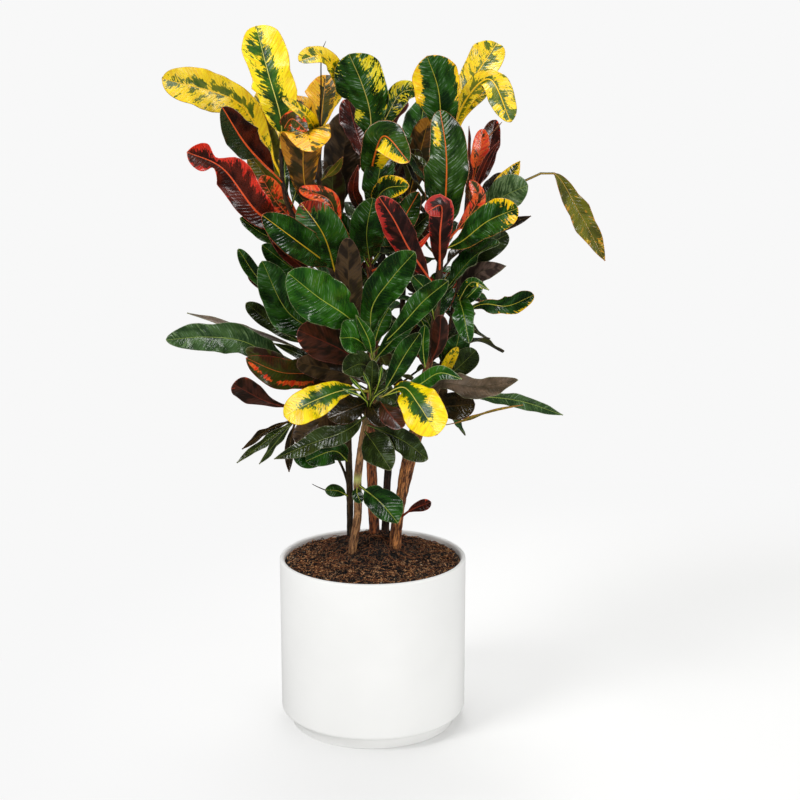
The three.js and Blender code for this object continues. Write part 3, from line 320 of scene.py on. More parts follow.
# Single leaves whose colours lean: how much more of the second colour, and how far it leans to one side.
ACCENTS: dict[str, tuple[float, float]] = {
    "l1": (0.12, 0.0), "l2": (0.16, 0.12), "l8": (-0.2, 0.14), "l9": (0.0, -1.2), "l11": (0.02, 0.3),
    "l16": (0.28, 0.6), "l16b": (0.1, 0.0), "l14": (0.3, 0.0), "r1": (-0.25, 0.0), "r5": (0.14, 0.0),
    "r6": (-0.3, 0.0), "l12": (-0.6, 0.0), "r9": (0.3, 0.0), "r12": (0.3, 0.0), "r13": (0.05, 0.0),
    "r13b": (1.1, 0.0), "r14": (0.0, 0.25), "r15": (-0.5, 0.0), "r16b": (0.3, 0.0), "r20b": (-0.2, 0.0),
    "r23": (-0.25, 0.3), "r4": (-0.05, 0.0), "r3": (-0.12, 0.0), "r2": (-0.1, 0.1), "l6": (-0.25, 0.0),
    "r7": (-0.8, 0.0), "l5": (0.0, -0.25), "l13": (-0.4, 0.0), "r47": (-1.0, 0.0),
    "x1": (-0.5, 0.0), "x3": (-0.3, 0.0), "l7c": (-0.4, 0.0), "r17": (-0.2, 0.0), "r57": (-0.3, 0.0),
    "h1_3": (-0.6, 0.0), "x12": (-0.15, 0.0), "x2": (0.2, 0.0), "x9": (-0.2, 0.0),
    "r16": (0.3, 0.0), "l7": (-0.2, 0.0),
}

# Single patches of the second colour, or of the ground where the strength is below 0: place along the blade,
# side from -1 to 1, half length, half width and strength.
PATCHES: dict[str, tuple[tuple[float, float, float, float, float], ...]] = {
    "l1": ((0.6, 0.25, 0.28, 0.16, -0.6), (0.9, -0.35, 0.1, 0.3, -0.3)),
    "l2": ((0.84, -0.6, 0.14, 0.35, -0.5), (0.05, 0.0, 0.12, 0.8, -0.4)),
    "l3": ((0.5, 0.0, 0.4, 0.25, -0.5),),
    "l5": ((0.3, 0.1, 0.35, 0.4, -0.6), (0.8, -0.5, 0.25, 0.5, 0.5)),
    "l6": ((0.25, 0.0, 0.4, 0.6, -0.4), (0.9, 0.0, 0.2, 0.9, 0.7)),
    "l8": ((0.3, -0.7, 0.07, 0.35, 1.3), (0.8, 0.45, 0.12, 0.3, 0.5), (0.6, 0.75, 0.06, 0.25, 0.8),
           (0.6, -0.4, 0.35, 0.4, -0.5)),
    "l13": ((0.95, 0.3, 0.16, 0.8, 1.0),),
    "l14": ((0.5, 0.2, 0.4, 0.25, -0.9),),
    "l7": ((0.95, 0.0, 0.16, 1.0, 0.9),),
    "l16": ((0.65, 0.5, 0.3, 0.4, 0.6),),
    "r1": ((0.75, -0.85, 0.22, 0.28, 1.1), (0.7, 0.95, 0.12, 0.1, 0.6), (0.25, -0.8, 0.12, 0.2, 0.5)),
    "r2": ((0.55, 0.2, 0.35, 0.2, -0.4),),
    "r3": ((0.3, 0.0, 0.25, 0.3, -0.4), (0.75, 0.1, 0.2, 0.35, -0.35)),
    "r6": ((0.82, -0.5, 0.16, 0.35, 1.5), (0.45, 0.45, 0.04, 0.2, 0.6)),
    "r7": ((0.95, 0.2, 0.12, 0.6, 1.8),),
    "r9": ((0.5, 0.0, 0.35, 0.5, 0.3), (0.2, 0.6, 0.2, 0.4, -0.8)),
    "r13": ((0.98, 0.0, 0.12, 1.2, 0.6), (0.7, 0.0, 0.2, 0.4, -0.4)),
    "r15": ((0.95, 0.0, 0.22, 1.2, 0.9), (0.75, -0.95, 0.12, 0.2, 0.4)),
    "r31": ((0.97, 0.0, 0.16, 1.2, 0.9), (0.2, 0.0, 0.2, 0.7, -0.3)),
    "r46": ((0.2, 0.0, 0.3, 2.0, 2.6),),
    "r47": ((0.9, -0.4, 0.11, 0.28, 1.9), (0.5, -0.6, 0.28, 0.2, 1.7)),
    "r49": ((0.97, 0.0, 0.16, 1.2, 0.9), (0.3, 0.0, 0.25, 0.6, -0.35)),
}

# Margins that swell or draw in, as the photo shows them: places along the blade, with the factors of its half
# width to the left and to the right, as its upper side is seen from base to tip.
MARGINS: dict[str, tuple[tuple[float, float, float], ...]] = {
    "l1": ((0.0, 1.0, 1.0), (0.12, 0.8, 1.3), (0.25, 0.9, 1.15), (0.5, 1.05, 0.92), (0.8, 1.1, 0.95)),
    "l2": ((0.0, 1.0, 1.0), (0.15, 1.0, 0.95), (0.33, 0.82, 1.15), (0.4, 0.72, 1.1), (0.46, 0.88, 1.02),
           (0.51, 0.7, 0.92), (0.62, 0.74, 0.95), (0.8, 0.84, 1.04), (1.0, 0.9, 1.0)),
    "l4": ((0.0, 0.8, 0.8), (0.5, 1.1, 1.1), (0.75, 1.3, 1.3), (0.95, 1.5, 1.5)),
    "l5": ((0.0, 0.8, 0.8), (0.45, 0.75, 0.8), (0.62, 1.1, 1.05), (0.7, 1.0, 1.1), (0.85, 0.85, 1.05)),
    "l7": ((0.0, 1.0, 1.0), (0.4, 1.2, 1.2), (0.6, 1.3, 1.2), (0.68, 0.9, 1.1), (0.76, 1.2, 1.1)),
    "l8": ((0.0, 1.2, 1.0), (0.25, 1.15, 1.0), (0.4, 0.72, 1.05), (0.5, 0.8, 1.0), (0.7, 1.0, 0.95)),
    "l9": ((0.0, 0.15, 1.0), (0.28, 0.15, 1.1), (0.42, 0.95, 0.88), (0.6, 1.0, 1.05), (0.75, 1.05, 0.82)),
    "l11": ((0.0, 1.0, 1.0), (0.25, 0.85, 1.1), (0.45, 0.72, 0.95), (0.68, 0.7, 0.9), (0.8, 0.8, 0.8),
            (0.9, 0.8, 0.78), (1.0, 0.85, 0.85)),
    "l16": ((0.0, 1.0, 1.0), (0.5, 1.0, 1.0), (0.62, 0.85, 1.0), (0.7, 1.0, 1.05), (0.85, 0.9, 1.0)),
    "r1": ((0.0, 1.0, 1.0), (0.3, 0.88, 1.05), (0.55, 1.1, 0.92), (0.8, 1.05, 1.0)),
    "r2": ((0.0, 1.0, 1.0), (0.35, 1.0, 0.8), (0.5, 0.92, 0.85), (0.8, 1.1, 1.05), (1.0, 1.15, 1.15)),
    "r3": ((0.0, 1.0, 1.0), (0.5, 1.0, 1.0), (0.65, 1.2, 1.2), (0.9, 1.35, 1.35)),
    "r6": ((0.0, 1.0, 1.0), (0.2, 1.1, 1.1), (0.4, 1.15, 0.92), (0.55, 1.1, 1.05), (0.62, 0.78, 1.0),
           (0.8, 0.75, 0.95), (1.0, 0.8, 0.9)),
    "r15": ((0.0, 1.0, 1.0), (0.3, 0.78, 1.05), (0.5, 1.05, 0.88), (0.7, 1.0, 1.05), (1.0, 1.1, 1.1)),
    "r17": ((0.0, 1.0, 1.0), (0.3, 0.75, 1.0), (0.45, 1.1, 0.8), (0.62, 0.85, 1.1), (0.8, 1.05, 0.85)),
    "r22": ((0.0, 1.0, 1.0), (0.3, 1.0, 1.05), (0.45, 1.05, 0.72), (0.58, 0.95, 1.05), (0.7, 0.72, 0.95)),
    "r23": ((0.0, 1.0, 1.0), (0.4, 0.7, 1.0), (0.5, 1.05, 0.75), (0.68, 0.8, 1.05), (0.85, 1.1, 0.9)),
    "r29": ((0.0, 1.0, 1.0), (0.4, 1.0, 1.1), (0.55, 0.7, 1.6), (0.65, 0.7, 1.9), (0.85, 0.6, 1.7)),
    "r31": ((0.0, 0.6, 0.6), (0.2, 0.6, 0.7), (0.4, 0.8, 0.86), (0.6, 0.95, 0.88), (1.0, 0.96, 0.94)),
    "r36a": ((0.0, 1.0, 1.0), (0.5, 1.0, 1.0), (0.75, 0.8, 0.75), (1.0, 0.6, 0.5)),
    "r24": ((0.0, 0.5, 0.5), (0.2, 0.6, 0.6), (0.4, 0.75, 0.75), (0.6, 0.8, 0.85), (1.0, 0.85, 0.85)),
    "r30b": ((0.0, 0.3, 0.3), (0.3, 0.8, 0.8), (0.45, 0.3, 0.3), (0.75, 0.5, 0.5)),
    "r39": ((0.0, 0.4, 0.45), (0.15, 0.55, 0.6), (0.35, 0.9, 0.9), (0.55, 0.95, 1.0), (0.8, 1.05, 0.95)),
    "r40": ((0.0, 1.0, 1.0), (0.25, 0.85, 1.1), (0.5, 1.1, 0.9), (0.7, 0.88, 1.05)),
    "r44": ((0.0, 1.0, 1.0), (0.3, 0.75, 1.1), (0.42, 1.0, 0.88), (0.52, 0.82, 1.05), (0.62, 1.1, 1.0),
            (0.7, 0.95, 0.88), (0.85, 1.05, 1.05)),
    "r46": ((0.0, 1.0, 1.0), (0.35, 1.0, 0.7), (0.45, 0.6, 1.1), (0.6, 1.1, 0.65), (0.75, 0.8, 1.0)),
    "r48": ((0.0, 0.35, 0.35), (0.2, 0.35, 0.4), (0.45, 0.6, 0.65), (0.65, 1.0, 1.0), (1.0, 1.15, 1.15)),
    "r49": ((0.0, 1.0, 1.0), (0.3, 0.85, 1.0), (0.5, 1.0, 0.95), (0.7, 1.05, 0.85), (1.0, 1.1, 0.9)),
    "r51a": ((0.0, 1.0, 1.0), (0.4, 1.2, 0.5), (0.55, 0.6, 1.2), (0.75, 1.2, 0.7)),
    "r51b": ((0.0, 1.0, 1.0), (0.35, 0.5, 1.2), (0.5, 1.2, 0.7), (0.7, 0.6, 1.2)),
    "r51c": ((0.0, 1.0, 1.0), (0.3, 1.2, 0.8), (0.5, 0.6, 1.1), (0.7, 1.2, 0.5)),
    "r52": ((0.0, 1.0, 1.0), (0.35, 1.0, 0.75), (0.45, 0.9, 1.05), (0.55, 0.72, 1.0), (0.75, 1.0, 0.7)),
    "r55c": ((0.0, 1.2, 1.1), (0.25, 1.1, 1.0), (0.38, 0.88, 0.92), (0.5, 1.0, 0.88), (0.75, 1.25, 0.75),
             (0.9, 1.1, 0.55), (1.0, 0.6, 0.4)),
}


def tint(red: int, green: int, blue: int) -> Colour:
    """Turn a colour named from 0 to 255, as the eye sees it, into the linear values that a shader takes.

    Args:
        red: The red share.
        green: The green share.
        blue: The blue share.

    Returns:
        The linear colour, with an alpha of 1.
    """
    shares = (value / 255 for value in (red, green, blue))
    linear = [s / 12.92 if s <= 0.04045 else ((s + 0.055) / 1.055) ** 2.4 for s in shares]
    return (linear[0], linear[1], linear[2], 1.0)


def smooth(value: np.ndarray | float, low: float, high: float) -> np.ndarray:
    """Rise smoothly from 0 at low to 1 at high.

    Args:
        value: The values to read.
        low: Where the rise starts.
        high: Where it ends.

    Returns:
        The eased values.
    """
    share = np.clip((np.asarray(value, float) - low) / (high - low), 0, 1)
    return share * share * (3 - 2 * share)


def unit(vectors: np.ndarray) -> np.ndarray:
    """Scale each vector of the last axis to a length of 1."""
    return vectors / np.maximum(np.linalg.norm(vectors, axis=-1, keepdims=True), 1e-12)


@dataclass(frozen=True)
class View:
    """The view that the places are read in: an eye in front of the plant that looks down a little, in mm."""

    eye: Place = (32.3, -1700.0, 747.0)
    pitch_deg: float = 11.87
    focal: float = 1497.0
    middle: float = 400.0

    @cached_property
    def forward(self) -> np.ndarray:
        """The way that the eye looks."""
        pitch = math.radians(self.pitch_deg)
        return np.array([0.0, math.cos(pitch), -math.sin(pitch)])

    @cached_property
    def upward(self) -> np.ndarray:
        """The view's own up."""
        pitch = math.radians(self.pitch_deg)
        return np.array([0.0, math.sin(pitch), math.cos(pitch)])

    def seen(self, place: Place) -> np.ndarray:
        """Turn a place of the view into a point.

        Args:
            place: Column, row and depth.

        Returns:
            The point in millimetres.
        """
        column, row, depth = place
        sight = self.forward + self.upward * (self.middle - row) / self.focal
        sight = sight + np.array([(column - self.middle) / self.focal, 0.0, 0.0])
        return np.array(self.eye) + sight * (depth - self.eye[1]) / sight[1]

    def place_of(self, point: np.ndarray) -> Place:
        """Turn a point into its place in the view, so that seen() gives it back.

        Args:
            point: The point in millimetres.

        Returns:
            Column, row and depth.
        """
        away = point - np.array(self.eye)
        reach = away @ self.forward
        column = self.middle + self.focal * away[0] / reach
        row = self.middle - self.focal * (away @ self.upward) / reach
        return (float(column), float(row), float(point[1]))


VIEW = View()


class Way:
    """A smooth way through chosen points: the centripetal curve that the solids follow."""

    divisions = 200

    def __init__(self, points: list[np.ndarray]) -> None:
        """Take the points and measure the way along them.

        Args:
            points: The points in millimetres.
        """
        self.points = np.array(points, float)
        chords = np.diff(self.points, axis=0)
        self.gaps = np.sqrt(np.linalg.norm(chords, axis=1))[:, None]
        slopes = chords / self.gaps
        before, after = self.gaps[:-1], self.gaps[1:]
        inner = (slopes[:-1] * after + slopes[1:] * before) / (before + after)
        self.slopes = np.concatenate([slopes[:1], inner, slopes[-1:]])
        self.shares = np.linspace(0, 1, self.divisions + 1)
        steps = np.linalg.norm(np.diff(self._at_share(self.shares), axis=0), axis=1)
        self.lengths = np.concatenate([[0.0], np.cumsum(steps)])
        self.length = float(self.lengths[-1])

    def _at_share(self, share: np.ndarray) -> np.ndarray:
        """Give the points at shares of the curve's parameter."""
        place = np.clip(share, 0, 1) * (len(self.points) - 1)
        i = np.minimum(place.astype(int), len(self.points) - 2)
        s = (place - i)[:, None]
        start = (2 * s**3 - 3 * s**2 + 1) * self.points[i] + (s**3 - 2 * s**2 + s) * self.gaps[i] * self.slopes[i]
        end = (3 * s**2 - 2 * s**3) * self.points[i + 1] + (s**3 - s**2) * self.gaps[i] * self.slopes[i + 1]
        return start + end

    def _share(self, t: np.ndarray) -> np.ndarray:
        """Give the curve's parameter at shares of its length."""
        return np.interp(np.asarray(t) * self.length, self.lengths, self.shares)

    def at(self, t: np.ndarray) -> np.ndarray:
        """Give the points at shares of the length."""
        return self._at_share(self._share(t))

    def along(self, t: np.ndarray) -> np.ndarray:
        """Give the directions at shares of the length."""
        share, step = self._share(t), 1e-4
        low, high = np.maximum(share - step, 0), np.minimum(share + step, 1)
        return unit(self._at_share(high) - self._at_share(low))


class Branch:
    """A woody branch of one stem, with its way and its radii."""

    steps = 160

    def __init__(self, node: str, radii: Three, places: tuple[Place, ...]) -> None:
        """Lay the branch through its places.

        Args:
            node: The solid that the branch belongs to.
            radii: The radii at the start, the middle and the end.
            places: The places that its axis passes through.
        """
        self.node = node
        self.radii = radii
        self.way = Way([VIEW.seen(place) for place in places])
        self.marks = self.way.at(np.linspace(0, 1, self.steps + 1))

    def at_height(self, height: float) -> np.ndarray:
        """Give the axis point nearest to a height."""
        return self.marks[np.argmin(np.abs(self.marks[:, 2] - height))]

    def at_row(self, row: float) -> np.ndarray:
        """Give the axis point nearest to a row of the view."""
        rows = np.array([VIEW.place_of(mark)[1] for mark in self.marks])
        return self.marks[np.argmin(np.abs(rows - row))]

    def radius(self, t: np.ndarray) -> np.ndarray:
        """Give the radius at shares of the length."""
        return np.interp(t, [0, 0.5, 1], self.radii)


class Form(Enum):
    """Outlines of a blade: the width grows as u^rise, closes as (1 - u^end)^round, and may have a waist."""

    spoon = (0.8, 3.4, 0.5, 0.0)
    oval = (0.62, 2.2, 0.55, 0.0)
    lance = (0.75, 1.5, 0.9, 0.0)
    strap = (0.45, 4.0, 0.5, 0.0)
    waist = (0.55, 3.6, 0.5, 0.7)

    def share(self, u: np.ndarray) -> np.ndarray:
        """Give the share of the full width along the blade.

        Args:
            u: Shares of the blade's length.

        Returns:
            Shares of the full width.
        """
        rise, end, close, waist = self.value
        peak = rise / (rise + end * close)
        top = peak ** (rise / end) * (1 - peak) ** close
        share = u**rise * np.maximum(1 - u**end, 0) ** close / top
        return share * (1 - waist * np.exp(-(((u - 0.76) / 0.075) ** 2)))


@dataclass
class Leaf:
    """One leaf: where it grows, how it lies and which finish it has. Sizes are in millimetres."""

    name: str
    node: str
    base: np.ndarray
    places: tuple[Place, ...]
    wide: float
    face: float
    turn: float
    fold: float
    form: Form
    stalk: float
    phase: float
    facing: np.ndarray
    tone: str
    bend: float = 0.0

    stalk_thick, stalk_wide, tip_wide = 2.4, 2.8, 1.6
    # Shares of the slab's rows on the stalk and of the blade's length where it is full, and how far the rows
    # crowd to the ends and the columns to the rib and the margins.
    stalk_rows = 0.1
    blade_from = 0.14
    end_crowd, side_crowd = 0.58, 0.55
    # Ripple, wave and frill of the margin: their lengths, and their depths as shares of the half width.
    ripple_pace, ripple_depth = 7.3, 0.03
    wave_length, wave_depth = 56.0, 0.13
    frill_length, frill_depth = 21.0, 0.07
    # Thickness of the blade, what the rib adds, and the groove along it above and below.
    blade_thick, rib_thick, rib_wide = 0.62, 0.35, 2.2
    groove_wide, groove_above, groove_below = 1.3, 0.45, 0.85
    # How the side veins slant and curl, and the distance from the margin that the stalk gives.
    vein_slant, vein_curl = 0.62, 0.011
    no_edge = 9.0
    # The margin of a leaf that MARGINS doesn't name.
    plain_margin = ((0.0, 1.0, 1.0), (1.0, 1.0, 1.0))

    def way(self, bend: float) -> Way:
        """Lay the midrib with its tip bent back in the line of sight.

        Args:
            bend: How far the tip goes back.

        Returns:
            The midrib's way.
        """
        steps = len(self.places)
        points = [
            VIEW.seen((column, row, depth + bend * (i + 1) / steps))
            for i, (column, row, depth) in enumerate(self.places)
        ]
        return Way([self.base, *points])

    def _facings(self, way: Way, t: np.ndarray) -> np.ndarray:
        """Give the way that the upper side faces, carried along the midrib where the leaf curls.

        Args:
            way: The midrib's way.
            t: Shares of its length.

        Returns:
            A direction at each share.
        """
        if self.name not in CURLED:
            return np.tile(self.facing, (len(t), 1))
        carried = [self.facing]
        for direction in way.along(np.linspace(0, 1, CARRY_STEPS + 1)):
            carried.append(unit(carried[-1] - direction * (carried[-1] @ direction)))
        steps = np.arange(CARRY_STEPS + 1)
        return np.stack([np.interp(t * CARRY_STEPS, steps, part) for part in np.array(carried[1:]).T], 1)

    def axes(self, way: Way, t: np.ndarray) -> tuple[np.ndarray, np.ndarray, np.ndarray]:
        """Give the midrib's points, the upper side's normals and the sideways directions.

        Args:
            way: The midrib's way.
            t: Shares of its length.

        Returns:
            Points, normals and sideways directions.
        """
        along, facing = way.along(t), self._facings(way, t)
        normal = unit(facing - along * np.sum(along * facing, axis=1, keepdims=True))
        angle = np.radians(self.face + self.turn * (1 - smooth(t, 0.25, 0.7)))[:, None]
        normal = normal * np.cos(angle) + np.cross(along, normal) * np.sin(angle)
        return way.at(t), normal, np.cross(along, normal)

    def fits(self, bend: float, marks: kdtree.KDTree) -> float:
        """Measure how far this leaf's tip, so bent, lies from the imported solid's own corners."""
        return marks.find(Vector(self.way(bend).points[-1]))[2]

    def shift(self) -> None:
        """Move the tip by what SHIFTS gives for this leaf, and the rest of the midrib in proportion."""
        columns, rows = SHIFTS.get(self.name, (0.0, 0.0))
        shares = np.arange(1, len(self.places) + 1)[:, None] / len(self.places)
        self.places = tuple(map(tuple, np.array(self.places) + shares * (columns, rows, 0.0)))

    def shape(self, grid: np.ndarray) -> tuple[np.ndarray, dict[str, np.ndarray]]:
        """Bend a flat slab to this leaf.

        Args:
            grid: Corners of the slab: row from 0 to 1, side from -1 to 1, and layer 0 or 1.

        Returns:
            The corners in millimetres, and what the finish reads at each.
        """
        way = self.way(self.bend)
        row, hand, layer = grid.T
        even = np.clip((row - self.stalk_rows) / (1 - self.stalk_rows), 0, 1)
        u = (1 - self.end_crowd) * even + self.end_crowd * 0.5 * (1 - np.cos(math.pi * even))
        on_stalk = self.stalk * row / self.stalk_rows
        t = np.where(row < self.stalk_rows, on_stalk, self.stalk + (1 - self.stalk) * u)
        s = (1 - self.side_crowd) * hand + self.side_crowd * np.sign(hand) * (3 * hand**2 - 2 * np.abs(hand) ** 3)
        point, normal, side = self.axes(way, t)
        length = way.length * (1 - self.stalk)
        on_blade = smooth(u, 0.0, self.blade_from)
        least = np.where(u < 0.5, self.stalk_wide, self.tip_wide)
        wide = np.maximum(least, self.wide * self.form.share(u)) / 2
        ripple = np.sin(length * u / self.ripple_pace + self.phase + 1.7 * np.sign(s))
        wide = wide * (1 + on_blade * self.ripple_depth * ripple)
        at, left, right = np.array(MARGINS.get(self.name, self.plain_margin)).T
        wide = wide * np.where(s > 0, np.interp(u, at, right), np.interp(u, at, left))
        across, reach = s * wide, np.abs(s)
        run = np.abs(across)
        waves = max(1, round(way.length / self.wave_length))
        swing = np.sin(2 * math.pi * waves * u + self.phase + np.sign(s)) * np.minimum(1, 4 * u)
        frill = np.sin(2 * math.pi * length * u / self.frill_length + 2.3 * self.phase + 2 * np.sign(s))
        lift = wide * math.sin(math.radians(self.fold)) * reach**1.35 + wide * self.wave_depth * swing * reach**1.8
        lift = lift + self.frill_depth * wide * frill * reach**3 * on_blade * (1 - u**6)
        groove = np.exp(-((run / self.groove_wide) ** 2)) * on_blade * (1 - 0.75 * u)
        thick = self.blade_thick + self.rib_thick * np.exp(-((run / self.rib_wide) ** 2)) * (1 - u)
        round_stalk = self.stalk_thick * np.sqrt(1 - 0.97 * s**2)
        thick = round_stalk * (1 - on_blade) + thick * on_blade * (1 - 0.35 * reach**6)
        upper = lift + thick / 2 - self.groove_above * groove
        lower = lift - thick / 2 - self.groove_below * groove
        height = np.where(layer > 0.5, upper, lower)
        corners = point + side * (across * math.cos(math.radians(self.fold)))[:, None] + normal * height[:, None]
        veins = length * u - self.vein_slant * run - self.vein_curl * run**2
        edge = np.minimum((1 - reach) * wide, (1 - u) * length * 0.7 + 0.01)
        fixed = np.ones_like(u)
        accent, lean = ACCENTS.get(self.name, (0.0, 0.0))
        more = accent * fixed
        for place, off, long, broad, strength in PATCHES.get(self.name, ()):
            more = more + strength * np.exp(-(((u - place) / long) ** 2) - ((s - off) / broad) ** 2)
        return corners, {
            "blade": np.stack([u, s, np.where(u > 0, edge, self.no_edge)], 1),
            "veins": np.stack([veins, across, (self.phase * 3.7) % 29.0 * fixed], 1),
            "kind": np.stack([1 - layer, more, lean * fixed], 1),
        }


# How far apart the side veins lie, in millimetres.
VEIN_STEP = 4.6


class Foliage:
    """All the plant's leaves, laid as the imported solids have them."""

    # Bends to try, and how near a corner of its solid the tip of a hidden leaf has to come, in millimetres.
    bends = (0, 7, -7, 14, -14, 21, -21, 28, -28, 36, -36, 44, -44, 54, -54, 64, -64)
    tip_match = 0.9
    # Finishes that the ruled leaves take in turn, and the height from which the hidden ones take the high ones.
    hidden_tones = ("G", "R", "G", "B", "D", "GR", "G", "A")
    high_tones = ("E", "G", "R", "R", "M", "S", "O", "G")
    high_from = 640.0
    inner_tones = ("A", "D", "G", "R", "D", "A", "G")
    # The rule: turn from leaf to leaf in degrees, the share that spreads sizes, the height where leaves lie level
    # and how far above it they rise in full, and the stalk's share of the leaf.
    golden_turn = 137.5
    golden_share = 0.618
    level_at, level_span = 400.0, 230.0
    ruled_stalk = 0.14
    inner_stalk = 0.3

    def __init__(self) -> None:
        """Lay the branches and the leaves."""
        self.branches = {name: Branch(*row) for name, row in BRANCHES.items()}
        self.marks = {
            name: self._marks(name) for name in {branch.node for branch in self.branches.values()}
        }
        self.leaves = [*self._seen_leaves(LEAVES), *self._hidden_leaves(), *self._inner_leaves()]
        self.leaves += self._seen_leaves(EXTRAS)

    def _marks(self, node: str) -> kdtree.KDTree:
        """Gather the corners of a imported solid, in millimetres.

        Args:
            node: The solid's name.

        Returns:
            A tree that finds the nearest corner.
        """
        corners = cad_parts[node].data.vertices
        tree = kdtree.KDTree(len(corners))
        for i, corner in enumerate(corners):
            tree.insert(corner.co / MM, i)
        tree.balance()
        return tree

    def _fit(self, leaf: Leaf) -> bool:
        """Bend a leaf as its solid has it, and then move its tip by what SHIFTS gives.

        Args:
            leaf: The leaf.

        Returns:
            Whether its solid has a corner at its tip.
        """
        marks = self.marks[leaf.node]
        leaf.bend = min(self.bends, key=lambda bend: leaf.fits(bend, marks))
        found = leaf.fits(leaf.bend, marks) < self.tip_match
        leaf.shift()
        return found

    def _seen_leaves(self, rows: dict[str, tuple]) -> list[Leaf]:
        """Lay leaves that the view shows.

        Args:
            rows: The leaves' rows by name.

        Returns:
            The leaves; those of LEAVES each with the bend that its solid has.
        """
        facing = unit(np.array([0.0, -1.0, 0.25]))
        made = []
        for i, (name, row) in enumerate(rows.items()):
            branch, from_row, places, wide, face, turn, fold, form, stalk, tone = row
            stem = self.branches[branch]
            leaf = Leaf(name, stem.node, stem.at_row(from_row), places, wide, face, turn, fold,
                        Form[form], stalk, 2.4 * i, facing, tone)
            if rows is LEAVES:
                self._fit(leaf)
            made.append(leaf)
        return made

    def _hidden_leaves(self) -> list[Leaf]:
        """Lay the leaves of the hidden side that the solids have.

        Returns:
            The leaves whose tips the solids confirm.
        """
        made = []
        for group, row in enumerate(HIDDEN):
            for i in range(row[3]):
                leaf = self._ruled_leaf(f"h{group}_{i}", row, i)
                tones = self.high_tones if leaf.base[2] > self.high_from else self.hidden_tones
                leaf.tone = PICKED.get(leaf.name, tones[(3 * group + i) % len(tones)])
                if self._fit(leaf):
                    made.append(leaf)
        return made

    def _inner_leaves(self) -> list[Leaf]:
        """Lay the small leaves inside the crown.

        Returns:
            The leaves.
        """
        made = []
        for group, row in enumerate(INNER):
            for i in range(row[3]):
                leaf = self._ruled_leaf(f"i{group}_{i}", row, i)
                leaf.tone = self.inner_tones[(2 * group + i) % len(self.inner_tones)]
                leaf.stalk = self.inner_stalk
                if leaf.name not in LEFT_OUT:
                    made.append(leaf)
        return made

    def _ruled_leaf(self, name: str, row: tuple, i: int) -> Leaf:
        """Lay one leaf by rule: it leans out from its branch and arches over.

        Args:
            name: The leaf's name.
            row: Branch, heights, count, middle and span of the bearings, and lengths.
            i: Its turn in that row.

        Returns:
            The leaf.
        """
        branch, low, high, count, middle, span, low_long, high_long = row
        stem = self.branches[branch]
        share = (i + 0.5) / count
        base = stem.at_height(low + (high - low) * share)
        bearing = math.radians(middle + ((i * self.golden_turn) % span) - span / 2)
        spread = 0.85 + 0.3 * ((i * (1 - self.golden_share)) % 1)
        length = (low_long + (high_long - low_long) * share) * spread
        sway = ((i * self.golden_share + 0.31) % 1) - 0.5
        rise = min(max((base[2] - self.level_at) / self.level_span, -0.3), 0.8) + 0.35 * sway
        out = np.array([math.cos(bearing), math.sin(bearing), 0.0])
        up = np.array([0.0, 0.0, 1.0])
        via = base + out * 0.45 * length + up * (0.22 + 0.35 * rise) * length
        tip = base + out * (0.86 - 0.25 * abs(rise)) * length + up * rise * length
        facing = unit(up - 0.5 * out)
        form = Form.spoon if i % 3 == 0 else Form.oval
        return Leaf(name, stem.node, base, (VIEW.place_of(via), VIEW.place_of(tip)), 0.34 * length,
                    0, 60 * sway, 12 + 14 * abs(sway), form, self.ruled_stalk, 1.7 * i, facing, "G")


def clear_selection() -> None:
    """Leave nothing selected, so that an operator acts on the new mesh alone."""
    if bpy.context.object and bpy.context.object.mode != "OBJECT":
        bpy.ops.object.mode_set(mode="OBJECT")
    bpy.ops.object.select_all(action="DESELECT")


